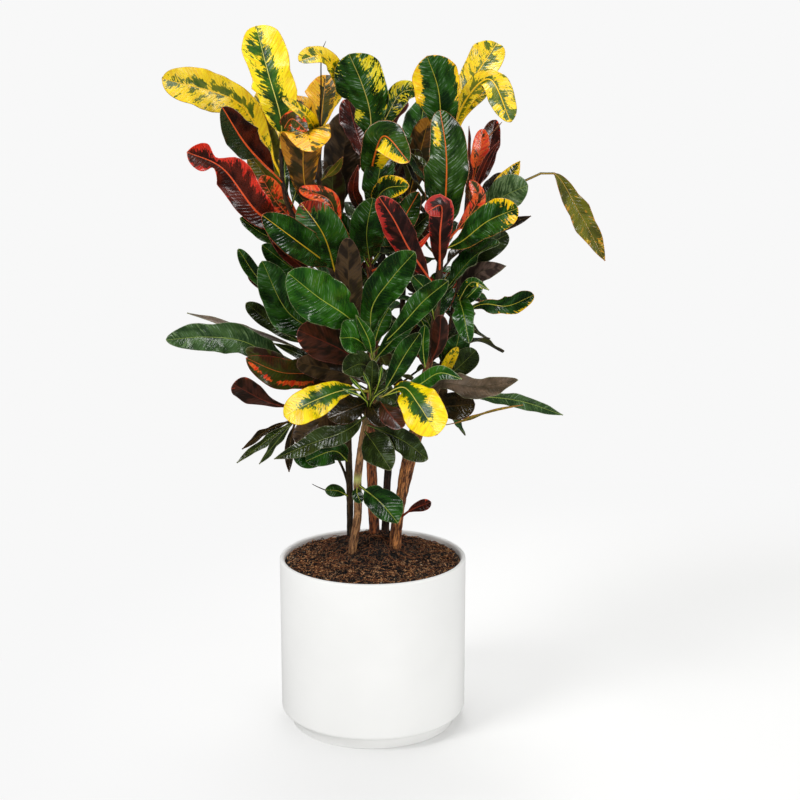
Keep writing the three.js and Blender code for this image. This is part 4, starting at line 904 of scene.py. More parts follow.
class Blank:
    """A mesh that is modelled once, and that every copy bends to its own place."""

    def __init__(self) -> None:
        """Keep the active object's corners and faces, and take the object away."""
        made = bpy.context.object
        self.corners = np.array([corner.co for corner in made.data.vertices], float)
        self.faces = [tuple(face.vertices) for face in made.data.polygons]
        bpy.data.objects.remove(made)

    @staticmethod
    def slab(rows: int, columns: int) -> "Blank":
        """Model a thin closed slab of a grid.

        Args:
            rows: Steps along it.
            columns: Steps across it.

        Returns:
            The blank, with corners of row 0 to 1, side -1 to 1 and layer 0 or 1.
        """
        clear_selection()
        bpy.ops.mesh.primitive_grid_add(x_subdivisions=rows, y_subdivisions=columns, size=2)
        bpy.ops.object.mode_set(mode="EDIT")
        bpy.ops.mesh.select_all(action="SELECT")
        bpy.ops.mesh.extrude_region_move(TRANSFORM_OT_translate={"value": (0, 0, 1)})
        bpy.ops.mesh.select_all(action="SELECT")
        bpy.ops.mesh.normals_make_consistent(inside=False)
        bpy.ops.object.mode_set(mode="OBJECT")
        blank = Blank()
        blank.corners[:, 0] = (blank.corners[:, 0] + 1) / 2
        blank.corners[:, 1] = -blank.corners[:, 1]
        return blank

    @staticmethod
    def tube(sides: int, rings: int) -> "Blank":
        """Model a closed tube.

        Args:
            sides: Steps round it.
            rings: Steps along it.

        Returns:
            The blank, a tube of radius 1 with its height from 0 to 1.
        """
        clear_selection()
        bpy.ops.mesh.primitive_cylinder_add(vertices=sides, radius=1, depth=1, end_fill_type="NGON")
        made = bpy.context.object
        upright = [abs(made.data.vertices[e.vertices[0]].co.z - made.data.vertices[e.vertices[1]].co.z) > 0.5
                   for e in made.data.edges]
        bpy.ops.object.mode_set(mode="EDIT")
        bpy.ops.mesh.select_all(action="DESELECT")
        bpy.ops.object.mode_set(mode="OBJECT")
        made.data.edges.foreach_set("select", upright)
        bpy.ops.object.mode_set(mode="EDIT")
        bpy.ops.mesh.select_mode(type="EDGE")
        bpy.ops.mesh.subdivide(number_cuts=rings - 1)
        bpy.ops.object.mode_set(mode="OBJECT")
        blank = Blank()
        blank.corners[:, 2] += 0.5
        return blank

    @staticmethod
    def crumb() -> "Blank":
        """Model a rough grain with twenty faces."""
        clear_selection()
        bpy.ops.mesh.primitive_ico_sphere_add(subdivisions=1, radius=1)
        return Blank()


class Assembly:
    """One finished piece, made of copies of blanks."""

    def __init__(self, name: str) -> None:
        """Start an empty piece.

        Args:
            name: The piece's name.
        """
        self.name = name
        self.corners: list[np.ndarray] = []
        self.faces: list[tuple[int, ...]] = []
        self.finishes: list[int] = []
        self.readings: dict[str, list[np.ndarray]] = {}
        self.count = 0

    def add(self, blank: Blank, corners: np.ndarray, readings: dict[str, np.ndarray] | None = None,
            finish: int = 0) -> None:
        """Add a copy of a blank with its own corners.

        Args:
            blank: The blank.
            corners: The copy's corners in millimetres.
            readings: What the finish reads at each corner.
            finish: The number of its finish.
        """
        start = self.count
        self.corners.append(corners)
        self.faces += [tuple(start + corner for corner in face) for face in blank.faces]
        self.finishes += [finish] * len(blank.faces)
        for key, values in (readings or {}).items():
            self.readings.setdefault(key, []).append(values)
        self.count += len(corners)

    def build(self, materials: list[bpy.types.Material], slot: str, *nodes: str) -> bpy.types.Object:
        """Make the piece, dress it and let it stand for its nodes.

        Args:
            materials: The finishes in the order of their numbers.
            slot: Not used.
            *nodes: The nodes that the piece stands for.

        Returns:
            The piece.
        """
        mesh = bpy.data.meshes.new(self.name)
        mesh.from_pydata(np.concatenate(self.corners) * MM, [], self.faces)
        for key, values in self.readings.items():
            made = mesh.attributes.new(key, "FLOAT_VECTOR", "POINT")
            made.data.foreach_set("vector", np.concatenate(values).astype(np.float32).ravel())
        mesh.polygons.foreach_set("use_smooth", [True] * len(self.faces))
        mesh.polygons.foreach_set("material_index", self.finishes)
        for material in materials:
            mesh.materials.append(material)
        mesh.validate()
        piece = bpy.data.objects.new(self.name, mesh)
        bpy.context.scene.collection.objects.link(piece)
        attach(piece, BODY)
        if nodes:
            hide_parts(*nodes)
        triangles = sum(len(face) - 2 for face in self.faces)
        LOG.info("%s: %d triangles", self.name, triangles)
        return piece


class Painter:
    """The node tree of one material, a call for each node."""

    def __init__(self, name: str) -> None:
        """Start an empty material.

        Args:
            name: The material's name.
        """
        self.material = bpy.data.materials.new(name)
        self.material.use_nodes = True
        self.tree = self.material.node_tree
        self.tree.nodes.clear()
        self.output = self.tree.nodes.new("ShaderNodeOutputMaterial")

    def node(self, kind: str, inputs: dict, **settings: object) -> bpy.types.Node:
        """Add a node.

        Args:
            kind: The node's type.
            inputs: What each input takes: a socket or a value.
            **settings: The node's own settings.

        Returns:
            The node.
        """
        made = self.tree.nodes.new(kind)
        for key, value in settings.items():
            setattr(made, key, value)
        for key, value in inputs.items():
            if isinstance(value, Socket):
                self.tree.links.new(value, made.inputs[key])
            else:
                made.inputs[key].default_value = value
        return made

    def math(self, operation: str, first: object, second: object = 0.0, third: object = 0.0) -> Socket:
        """Work a sum out of sockets and numbers."""
        return self.node("ShaderNodeMath", {0: first, 1: second, 2: third}, operation=operation).outputs[0]

    def total(self, *terms: tuple[object, float]) -> Socket:
        """Add terms, each a socket times a number.

        Args:
            *terms: Socket and factor of each term.

        Returns:
            The total.
        """
        total: object = 0.0
        for value, factor in terms:
            total = self.math("MULTIPLY_ADD", value, factor, total)
        return total

    def mix(self, share: object, first: object, second: object) -> Socket:
        """Mix two colours."""
        made = self.node("ShaderNodeMix", {0: share, 6: first, 7: second}, data_type="RGBA")
        return made.outputs[2]

    def rise(self, value: object, low: float, high: float, bottom: float = 0.0,
             top: float = 1.0) -> Socket:
        """Ease a value from bottom to top between two bounds."""
        inputs = {"Value": value, "From Min": low, "From Max": high, "To Min": bottom, "To Max": top}
        return self.node("ShaderNodeMapRange", inputs, interpolation_type="SMOOTHSTEP").outputs[0]

    def noise(self, vector: object, scale: float, detail: float = 2.0, rough: float = 0.5) -> Socket:
        """Read a soft noise at a place."""
        inputs = {"Vector": vector, "Scale": scale, "Detail": detail, "Roughness": rough}
        return self.node("ShaderNodeTexNoise", inputs).outputs[0]

    def parts(self, vector: object) -> list[Socket]:
        """Split a vector into its three numbers."""
        return list(self.node("ShaderNodeSeparateXYZ", {0: vector}).outputs)

    def vector(self, x: object, y: object, z: object) -> Socket:
        """Join three numbers into a vector."""
        return self.node("ShaderNodeCombineXYZ", {0: x, 1: y, 2: z}).outputs[0]

    def reading(self, name: str) -> Socket:
        """Read a vector that the mesh holds."""
        return self.node("ShaderNodeAttribute", {}, attribute_name=name).outputs["Vector"]

    def place(self) -> Socket:
        """Read the place on the piece, in metres."""
        return self.node("ShaderNodeTexCoord", {}).outputs["Object"]

    def bump(self, height: object, distance: float, strength: float) -> Socket:
        """Turn a height into a bumped normal."""
        return self.node("ShaderNodeBump", {"Height": height, "Distance": distance, "Strength": strength}).outputs[0]

    def finish(self, **inputs: object) -> bpy.types.Material:
        """Close the material with one surface shader.

        Args:
            **inputs: The shader's inputs, with underscores for spaces.

        Returns:
            The material.
        """
        named = {key.replace("_", " "): value for key, value in inputs.items()}
        shader = self.node("ShaderNodeBsdfPrincipled", named)
        self.tree.links.new(shader.outputs[0], self.output.inputs[0])
        return self.material


# The pale colour of the painted sheen: streaks of highlight painted into the leaves' colour.
PAINTED_SHEEN_COLOUR = tint(168, 192, 170)


@dataclass(frozen=True)
class LeafFinish:
    """A leaf's colours: a ground with a second colour in feathered patches, ribs, rim and underside, and streaks of
    painted sheen.
    """

    name: str
    ground: Colour
    deep: Colour
    patch: Colour
    patch_deep: Colour
    rib: Colour
    # The margin's pale line: partly the leaf's own margin colour, partly painted highlight along the edge.
    rim_and_highlight: Colour
    vein: Colour
    under: Colour
    under_deep: Colour
    amount: float = -2.0
    to_margin: float = 0.0
    to_tip: float = 0.0
    streak: float = 1.0
    blotch: float = 1.2
    speckle: float = 0.0
    vein_show: float = 0.14
    rib_wide: float = 0.55
    rough: float = 0.22
    swell: float = 0.36
    under_mask: float = 0.55
    gloss: float = 0.3
    # How much painted sheen, pale streaks of highlight, the colour takes.
    painted_sheen: float = 0.0

    def _spread(self, p: Painter, more: object, lean: object, u: object, s: object, noises: tuple) -> object:
        """Work out how far the second colour has spread, from below 0 to above 0.

        Args:
            p: The material's painter.
            more: How much more of it this leaf has.
            lean: How far it leans to one side.
            u: The share of the blade's length.
            s: The side, from -1 to 1.
            noises: Streaks, blots and specks.

        Returns:
            The spread.
        """
        streaks, blots, specks = (p.math("SUBTRACT", made, 0.5) for made in noises)
        return p.math("ADD", self.amount, p.total(
            (more, 1.0), (p.math("MULTIPLY", lean, s), 1.0), (p.math("ABSOLUTE", s), self.to_margin),
            (u, self.to_tip), (streaks, self.streak), (blots, self.blotch), (specks, self.speckle)))

    def material(self) -> bpy.types.Material:
        """Make the finish.

        Returns:
            The material.
        """
        p = Painter(self.name)
        u, s, edge = p.parts(p.reading("blade"))
        veins, across, seed = p.parts(p.reading("veins"))
        under, more, lean = p.parts(p.reading("kind"))
        reach = p.math("ABSOLUTE", s)
        run = p.math("ABSOLUTE", across)
        depth = p.total((seed, 3.1), (p.math("SIGN", s), 1.3))

        def clouded(along: float, out: float, detail: float, rough: float) -> Socket:
            """Read a noise drawn out along the side veins."""
            return p.noise(p.vector(p.math("MULTIPLY", veins, along), p.math("MULTIPLY", run, out), depth),
                           1, detail, rough)

        streaks = clouded(0.36, 0.07, 3, 0.55)
        blots = clouded(0.1, 0.085, 2, 0.5)
        specks = clouded(0.5, 0.34, 2, 0.6)
        clouds = p.noise(p.vector(p.math("MULTIPLY", veins, 0.05), p.math("MULTIPLY", across, 0.07), seed), 1, 2, 0.5)
        spread = self._spread(p, more, lean, u, s, (streaks, blots, specks))
        mask = p.rise(spread, -0.04, 0.04)
        shade = p.rise(clouds, 0.36, 0.64)
        ground = p.mix(shade, self.deep, self.ground)
        ground = p.mix(p.rise(spread, -0.3, 0.0, 0.0, 0.35), ground, self.vein)
        patch = p.mix(p.rise(streaks, 0.42, 0.66), self.patch, self.patch_deep)
        colour = p.mix(mask, ground, patch)
        side_vein = p.math("PINGPONG", veins, VEIN_STEP / 2)
        near = p.math("MULTIPLY", p.rise(reach, 0.75, 1.0, 1.0, 0.2), p.rise(run, 0.4, 2.4))
        near = p.math("MULTIPLY", near, p.rise(blots, 0.38, 0.6, 0.25, 1.0))
        line = p.math("MULTIPLY", p.rise(side_vein, 0.05, 0.55, 1.0, 0.0), near)
        colour = p.mix(p.math("MULTIPLY", line, self.vein_show), colour, self.vein)
        # Painted sheen: pale streaks of highlight painted into the colour, as strong as the finish's painted_sheen
        # gives.
        painted_sheen_mask = p.math("MULTIPLY", p.rise(clouded(0.8, 0.06, 3, 0.7), 0.53, 0.68), p.rise(clouds, 0.48, 0.62))
        colour = p.mix(p.math("MULTIPLY", painted_sheen_mask, self.painted_sheen), colour, PAINTED_SHEEN_COLOUR)
        beside = p.math("SUBTRACT", run, p.total((u, -0.75 * self.rib_wide)))
        rib = p.rise(beside, self.rib_wide - 0.25, self.rib_wide + 0.3, 1.0, 0.0)
        colour = p.mix(rib, colour, self.rib)
        # The rim: a pale line along the margin, partly the leaf's own margin colour and partly painted highlight
        # along the edge.
        rim_and_highlight = p.math("MULTIPLY", p.rise(edge, 0.2, 0.7, 1.0, 0.0), p.rise(specks, 0.4, 0.6, 0.25, 0.9))
        colour = p.mix(rim_and_highlight, colour, self.rim_and_highlight)
        below = p.mix(p.rise(blots, 0.4, 0.6), self.under_deep, self.under)
        below = p.mix(p.math("MULTIPLY", mask, self.under_mask), below, self.patch_deep)
        below = p.mix(p.math("MULTIPLY", line, 0.3), below, self.under_deep)
        below = p.mix(p.math("MULTIPLY", rib, 0.85), below, self.rib)
        below = p.mix(p.math("MULTIPLY", rim_and_highlight, 0.8), below, self.rim_and_highlight)
        colour = p.mix(under, colour, below)
        grain = p.noise(p.vector(veins, across, seed), 1.3, 2, 0.6)
        swelling = p.math("MULTIPLY", p.rise(side_vein, 0.0, VEIN_STEP / 2), near)
        height = p.total((swelling, self.swell), (grain, 0.07), (clouds, 2.2), (streaks, 0.5), (rib, 0.25))
        rough = p.total((grain, 0.14), (under, 0.16))
        return p.finish(
            Base_Color=colour,
            Roughness=p.math("ADD", rough, self.rough - 0.07),
            Normal=p.bump(height, 0.001, 1.0),
            Specular_IOR_Level=0.5,
            Coat_Weight=self.gloss,
            Coat_Roughness=0.12,
        )


def leaf_finishes() -> dict[str, LeafFinish]:
    """Name the plant's leaf finishes by their letters.

    Returns:
        The finishes.
    """
    green, dark = tint(36, 82, 12), tint(10, 38, 8)
    olive, brown = tint(70, 76, 16), tint(52, 29, 13)
    # The pale rim colour is partly painted highlight along the leaf margins.
    rib, rim_and_highlight = tint(166, 174, 66), tint(150, 156, 112)
    gold, lemon = tint(240, 196, 0), tint(252, 228, 4)
    maroon, wine = tint(80, 24, 12), tint(32, 10, 6)
    red, coral = tint(216, 36, 18), tint(236, 84, 44)
    leaf_vein = tint(92, 132, 40)
    return {
        "G": LeafFinish("leaf_green", green, dark, lemon, gold, rib, rim_and_highlight, leaf_vein, olive, brown, painted_sheen=0.45),
        "B": LeafFinish("leaf_bright_green", tint(44, 98, 12), tint(18, 62, 10), lemon, gold, tint(176, 190, 70),
            rim_and_highlight, tint(104, 148, 46), tint(84, 104, 26), olive, painted_sheen=0.4),
        "Y": LeafFinish("leaf_gold", tint(48, 96, 6), tint(18, 58, 8), lemon, gold, tint(236, 222, 100),
            tint(190, 110, 26), tint(150, 160, 14), gold, olive, amount=-0.84, to_margin=1.05,
            to_tip=0.5, streak=0.8, blotch=1.4, speckle=1.2, vein_show=0.06, swell=0.18,
            rough=0.34, gloss=0.12),
        "M": LeafFinish("leaf_mottled", tint(112, 120, 4), tint(60, 90, 6), tint(248, 214, 4), tint(238, 192, 2),
            tint(250, 200, 10), tint(130, 90, 16), tint(150, 150, 8), tint(190, 150, 10), olive,
            amount=-0.06, to_margin=0.3, streak=0.9, blotch=2.2, speckle=1.3, vein_show=0.1,
            rib_wide=1.2, swell=0.18, rough=0.38, gloss=0.06),
        "S": LeafFinish("leaf_spotted", green, dark, tint(246, 232, 50), tint(236, 208, 20), tint(220, 204, 96),
            rim_and_highlight, leaf_vein, olive, brown, amount=-0.72, to_margin=0.35, to_tip=0.4, streak=1.6,
            blotch=1.7, speckle=2.2, painted_sheen=0.6),
        "E": LeafFinish("leaf_gold_edged", green, dark, tint(250, 214, 10), tint(244, 176, 10),
            tint(196, 184, 56), tint(226, 150, 66), leaf_vein, olive, brown, amount=-1.26,
            to_margin=1.0, to_tip=0.55, streak=1.3, blotch=1.3, speckle=1.1, painted_sheen=0.5),
        "V": LeafFinish("leaf_orange_ribbed", tint(44, 78, 14), dark, tint(246, 218, 20), tint(238, 184, 16),
            tint(222, 104, 30), tint(214, 140, 100), leaf_vein, olive, brown, amount=-0.86,
            to_margin=0.3, streak=1.5, blotch=1.6, speckle=1.5, rib_wide=1.2, painted_sheen=0.5),
        "W": LeafFinish("leaf_weathered", tint(104, 104, 14), tint(68, 70, 12), tint(196, 166, 14),
            tint(172, 116, 18), tint(170, 136, 56), tint(196, 116, 76), tint(128, 120, 44),
            tint(92, 74, 30), tint(60, 44, 20), amount=-0.62, to_margin=0.4, to_tip=0.45, streak=1.3,
            blotch=1.4, speckle=1.8, rib_wide=0.45, rough=0.3),
        "R": LeafFinish("leaf_maroon", maroon, wine, red, coral, tint(126, 46, 24), tint(170, 96, 84),
            tint(122, 44, 24), tint(76, 34, 17), tint(36, 20, 9), amount=-1.2, to_margin=0.35,
            to_tip=0.7, streak=1.0, blotch=1.3, speckle=0.4, rib_wide=0.8),
        "F": LeafFinish("leaf_flame", tint(92, 28, 12), tint(42, 13, 7), tint(230, 50, 24), tint(176, 26, 14),
            tint(238, 88, 38), tint(236, 120, 96), tint(150, 44, 24), tint(72, 24, 16),
            tint(36, 12, 9), amount=-1.3, to_margin=0.85, to_tip=0.75, streak=1.2, blotch=1.5,
            speckle=1.3, rib_wide=1.3, under_mask=1.0, swell=0.22, rough=0.28, gloss=0.15),
        "N": LeafFinish("leaf_two_toned", tint(82, 28, 12), wine, tint(36, 54, 28), tint(24, 40, 19),
            tint(236, 92, 36), tint(160, 150, 120), tint(70, 60, 36), olive, brown, amount=-0.05,
            streak=0.3, blotch=0.5, rib_wide=1.5),
        "O": LeafFinish("leaf_amber", tint(84, 80, 8), tint(40, 52, 8), tint(246, 194, 10), tint(236, 156, 12),
            tint(232, 164, 28), tint(176, 76, 26), tint(150, 110, 14), tint(116, 74, 12),
            tint(54, 46, 8), amount=-0.46, to_margin=0.7, to_tip=0.2, streak=1.1, blotch=2.0,
            speckle=1.0, vein_show=0.1, under_mask=0.55, rough=0.38, gloss=0.06),
        "C": LeafFinish("leaf_coral", tint(56, 66, 16), tint(52, 26, 12), tint(248, 106, 36),
            tint(232, 44, 14), tint(236, 110, 50), tint(190, 50, 32), tint(180, 84, 40),
            tint(124, 52, 20), tint(58, 26, 12), amount=-0.5, to_margin=0.7, streak=1.3,
            blotch=1.9, speckle=1.6, rough=0.3, gloss=0.15),
        # Pale grey-green ground and strong streaks: painted sheen of a glossy ribbed leaf, over its green.
        "P": LeafFinish("leaf_ribbed_painted_sheen", tint(66, 96, 48), tint(38, 64, 32), tint(132, 154, 106),
            tint(100, 126, 78), tint(146, 168, 76), tint(156, 164, 134), tint(104, 134, 80),
            olive, brown, amount=-0.4, streak=2.2, blotch=0.6, speckle=0.6, vein_show=0.3, painted_sheen=0.5),
        "A": LeafFinish("leaf_dusky", tint(50, 66, 22), tint(26, 38, 13), brown, brown, tint(100, 112, 46),
            tint(144, 140, 108), tint(84, 98, 42), olive, brown, painted_sheen=0.3),
        "D": LeafFinish("leaf_dark", tint(46, 34, 14), tint(20, 18, 8), maroon, red, tint(84, 62, 28),
            tint(120, 84, 66), tint(74, 60, 28), tint(74, 54, 30), tint(36, 25, 14), amount=-0.8),
        "K": LeafFinish("leaf_dry", tint(112, 92, 72), tint(70, 58, 40), brown, brown, tint(66, 58, 30), rim_and_highlight,
            tint(96, 80, 60), tint(110, 88, 76), tint(56, 40, 34), rough=0.5, gloss=0.05),
        "GR": LeafFinish("leaf_green_red", green, dark, tint(88, 26, 14), tint(176, 44, 18), tint(226, 184, 40),
                         tint(196, 90, 62), leaf_vein, tint(70, 40, 20), brown, amount=-1.0, to_tip=0.8,
                         to_margin=0.3, streak=1.1, blotch=1.6, speckle=0.6, rib_wide=0.85, painted_sheen=0.4),
    }


@dataclass(frozen=True)
class BarkFinish:
    """Bark with fissures along the stem, and young green wood where the mesh asks for it."""

    name: str
    light: Colour
    dark: Colour
    crack: Colour
    young: Colour
    depth: float

    def material(self) -> bpy.types.Material:
        """Make the finish.

        Returns:
            The material.
        """
        p = Painter(self.name)
        place = p.reading("bark")
        broad = p.noise(place, 0.16, 3, 0.6)
        plates = p.noise(place, 0.62, 5, 0.8)
        fine = p.noise(place, 1.6, 3, 0.6)
        crack = p.rise(plates, 0.43, 0.49, 1.0, 0.0)
        colour = p.mix(p.rise(broad, 0.38, 0.62), self.dark, self.light)
        colour = p.mix(p.rise(plates, 0.54, 0.62, 0.0, 0.75), colour, self.light)
        colour = p.mix(p.math("MULTIPLY", crack, 0.85), colour, self.crack)
        colour = p.mix(p.parts(p.reading("young"))[0], colour, self.young)
        height = p.total((p.rise(plates, 0.38, 0.58), 1.0), (fine, 0.4), (broad, 0.6))
        return p.finish(
            Base_Color=colour,
            Roughness=p.rise(fine, 0.3, 0.7, 0.8, 0.5),
            Normal=p.bump(height, self.depth, 1.0),
        )


@dataclass(frozen=True)
class GlazeFinish:
    """The planter's matte white glaze, with a faint unevenness."""

    name: str = "glaze_white"
    low: Colour = tint(235, 235, 233)
    high: Colour = tint(239, 239, 237)

    def material(self) -> bpy.types.Material:
        """Make the finish.

        Returns:
            The material.
        """
        p = Painter(self.name)
        place = p.place()
        cloud = p.noise(place, 9, 3, 0.5)
        grain = p.noise(place, 900, 2, 0.6)
        colour = p.mix(p.rise(cloud, 0.3, 0.7), self.low, self.high)
        return p.finish(
            Base_Color=colour,
            Roughness=p.rise(grain, 0.3, 0.7, 0.4, 0.52),
            Normal=p.bump(p.total((grain, 1.0), (cloud, 3.0)), 0.00012, 0.25),
        )


@dataclass(frozen=True)
class CoirFinish:
    """Coir soil: dark crumbs and paler fibre, and painted shadow of the crown that darkens the heap's high middle."""

    name: str
    light: Colour
    mid: Colour
    dark: Colour

    def material(self) -> bpy.types.Material:
        """Make the finish.

        Returns:
            The material.
        """
        p = Painter(self.name)
        place = p.place()
        coarse = p.noise(place, 70, 3, 0.6)
        fine = p.noise(place, 300, 3, 0.75)
        # Painted shadow of the crown: the colour turns dark where the heap rises in the middle, under the leaves.
        painted_crown_shadow = p.rise(p.parts(place)[2], 0.1965, 0.209, 0.0, 0.75)
        colour = p.mix(p.rise(coarse, 0.36, 0.62), self.dark, self.mid)
        colour = p.mix(p.rise(fine, 0.49, 0.53, 1.0, 0.0), colour, self.dark)
        colour = p.mix(p.rise(fine, 0.56, 0.58), colour, self.light)
        colour = p.mix(painted_crown_shadow, colour, self.dark)
        return p.finish(
            Base_Color=colour,
            Roughness=p.rise(fine, 0.3, 0.7, 0.95, 0.75),
            Normal=p.bump(p.total((fine, 1.0), (coarse, 1.0)), 0.0012, 0.9),
        )


@dataclass(frozen=True)
class Pot:
    """The planter: a straight cylinder with a rounded lip and a set-back foot. Sizes in metres."""

    radius: float = 0.110
    height: float = 0.202
    wall: float = 0.0055
    shelf: float = 0.012
    shelf_height: float = 0.020
    floor: float = 0.007
    foot_radius: float = 0.098
    foot_height: float = 0.014
    lower_edge: float = 0.006
    foot_edge: float = 0.0012
    sides: int = 192
    lip_share: float = 0.49
    facing: float = 0.9
    smooth_deg: float = 30.0

    def _pick(self, test: Callable[[Vector], bool]) -> None:
        """Select the faces whose normal passes a test, and stay in edit mode.

        Args:
            test: Takes a face's normal.
        """
        bpy.ops.object.mode_set(mode="OBJECT")
        mesh = bpy.context.object.data
        for element in (*mesh.vertices, *mesh.edges):
            element.select = False
        for face in mesh.polygons:
            face.select = test(face.normal)
        bpy.ops.object.mode_set(mode="EDIT")
        bpy.ops.mesh.select_mode(type="FACE")

    def _round_edge(self, height: float, radius: float, width: float, steps: int) -> None:
        """Round the ring of edges at a height and a radius.

        Args:
            height: The ring's height.
            radius: Its radius.
            width: How wide the rounding is.
            steps: How many steps it has.
        """
        bpy.ops.object.mode_set(mode="OBJECT")
        mesh = bpy.context.object.data
        on_ring = [
            abs(v.co.z - height) < 1e-5 and abs(math.hypot(v.co.x, v.co.y) - radius) < 1e-4 for v in mesh.vertices
        ]
        for element in (*mesh.polygons, *mesh.vertices):
            element.select = False
        for edge in mesh.edges:
            edge.select = on_ring[edge.vertices[0]] and on_ring[edge.vertices[1]]
        bpy.ops.object.mode_set(mode="EDIT")
        bpy.ops.mesh.select_mode(type="EDGE")
        bpy.ops.mesh.bevel(offset=width, offset_type="OFFSET", segments=steps, profile=0.5)

    def build(self) -> bpy.types.Object:
        """Model the planter from one cylinder.

        Returns:
            The piece.
        """
        clear_selection()
        body = self.height - self.foot_height
        bpy.ops.mesh.primitive_cylinder_add(
            vertices=self.sides, radius=self.radius, depth=body, location=(0, 0, self.foot_height + body / 2))
        piece = bpy.context.object
        piece.name = "planter"
        bpy.ops.object.transform_apply(location=True, rotation=True, scale=True)
        self._pick(lambda normal: normal.z > self.facing)
        bpy.ops.mesh.inset(thickness=self.wall)
        bpy.ops.mesh.extrude_region_move(TRANSFORM_OT_translate={"value": (0, 0, self.shelf_height - self.height)})
        bpy.ops.mesh.inset(thickness=self.shelf)
        bpy.ops.mesh.extrude_region_move(TRANSFORM_OT_translate={"value": (0, 0, self.floor - self.shelf_height)})
        self._pick(lambda normal: normal.z < -self.facing)
        bpy.ops.mesh.inset(thickness=self.radius - self.foot_radius)
        bpy.ops.mesh.extrude_region_move(TRANSFORM_OT_translate={"value": (0, 0, -self.foot_height)})
        lip = self.lip_share * self.wall
        for height, radius, width, steps in (
            (self.height, self.radius, lip, 6),
            (self.height, self.radius - self.wall, lip, 6),
            (self.foot_height, self.radius, self.lower_edge, 8),
            (self.foot_height, self.foot_radius, self.foot_edge, 3),
            (0.0, self.foot_radius, self.foot_edge, 3),
        ):
            self._round_edge(height, radius, width, steps)
        bpy.ops.object.mode_set(mode="OBJECT")
        piece.data.materials.append(GlazeFinish().material())
        clear_selection()
        piece.select_set(True)
        bpy.context.view_layer.objects.active = piece
        bpy.ops.object.shade_smooth_by_angle(angle=math.radians(self.smooth_deg))
        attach(piece, BODY)
        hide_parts("pot")
        LOG.info("planter: %d faces", len(piece.data.polygons))
        return piece


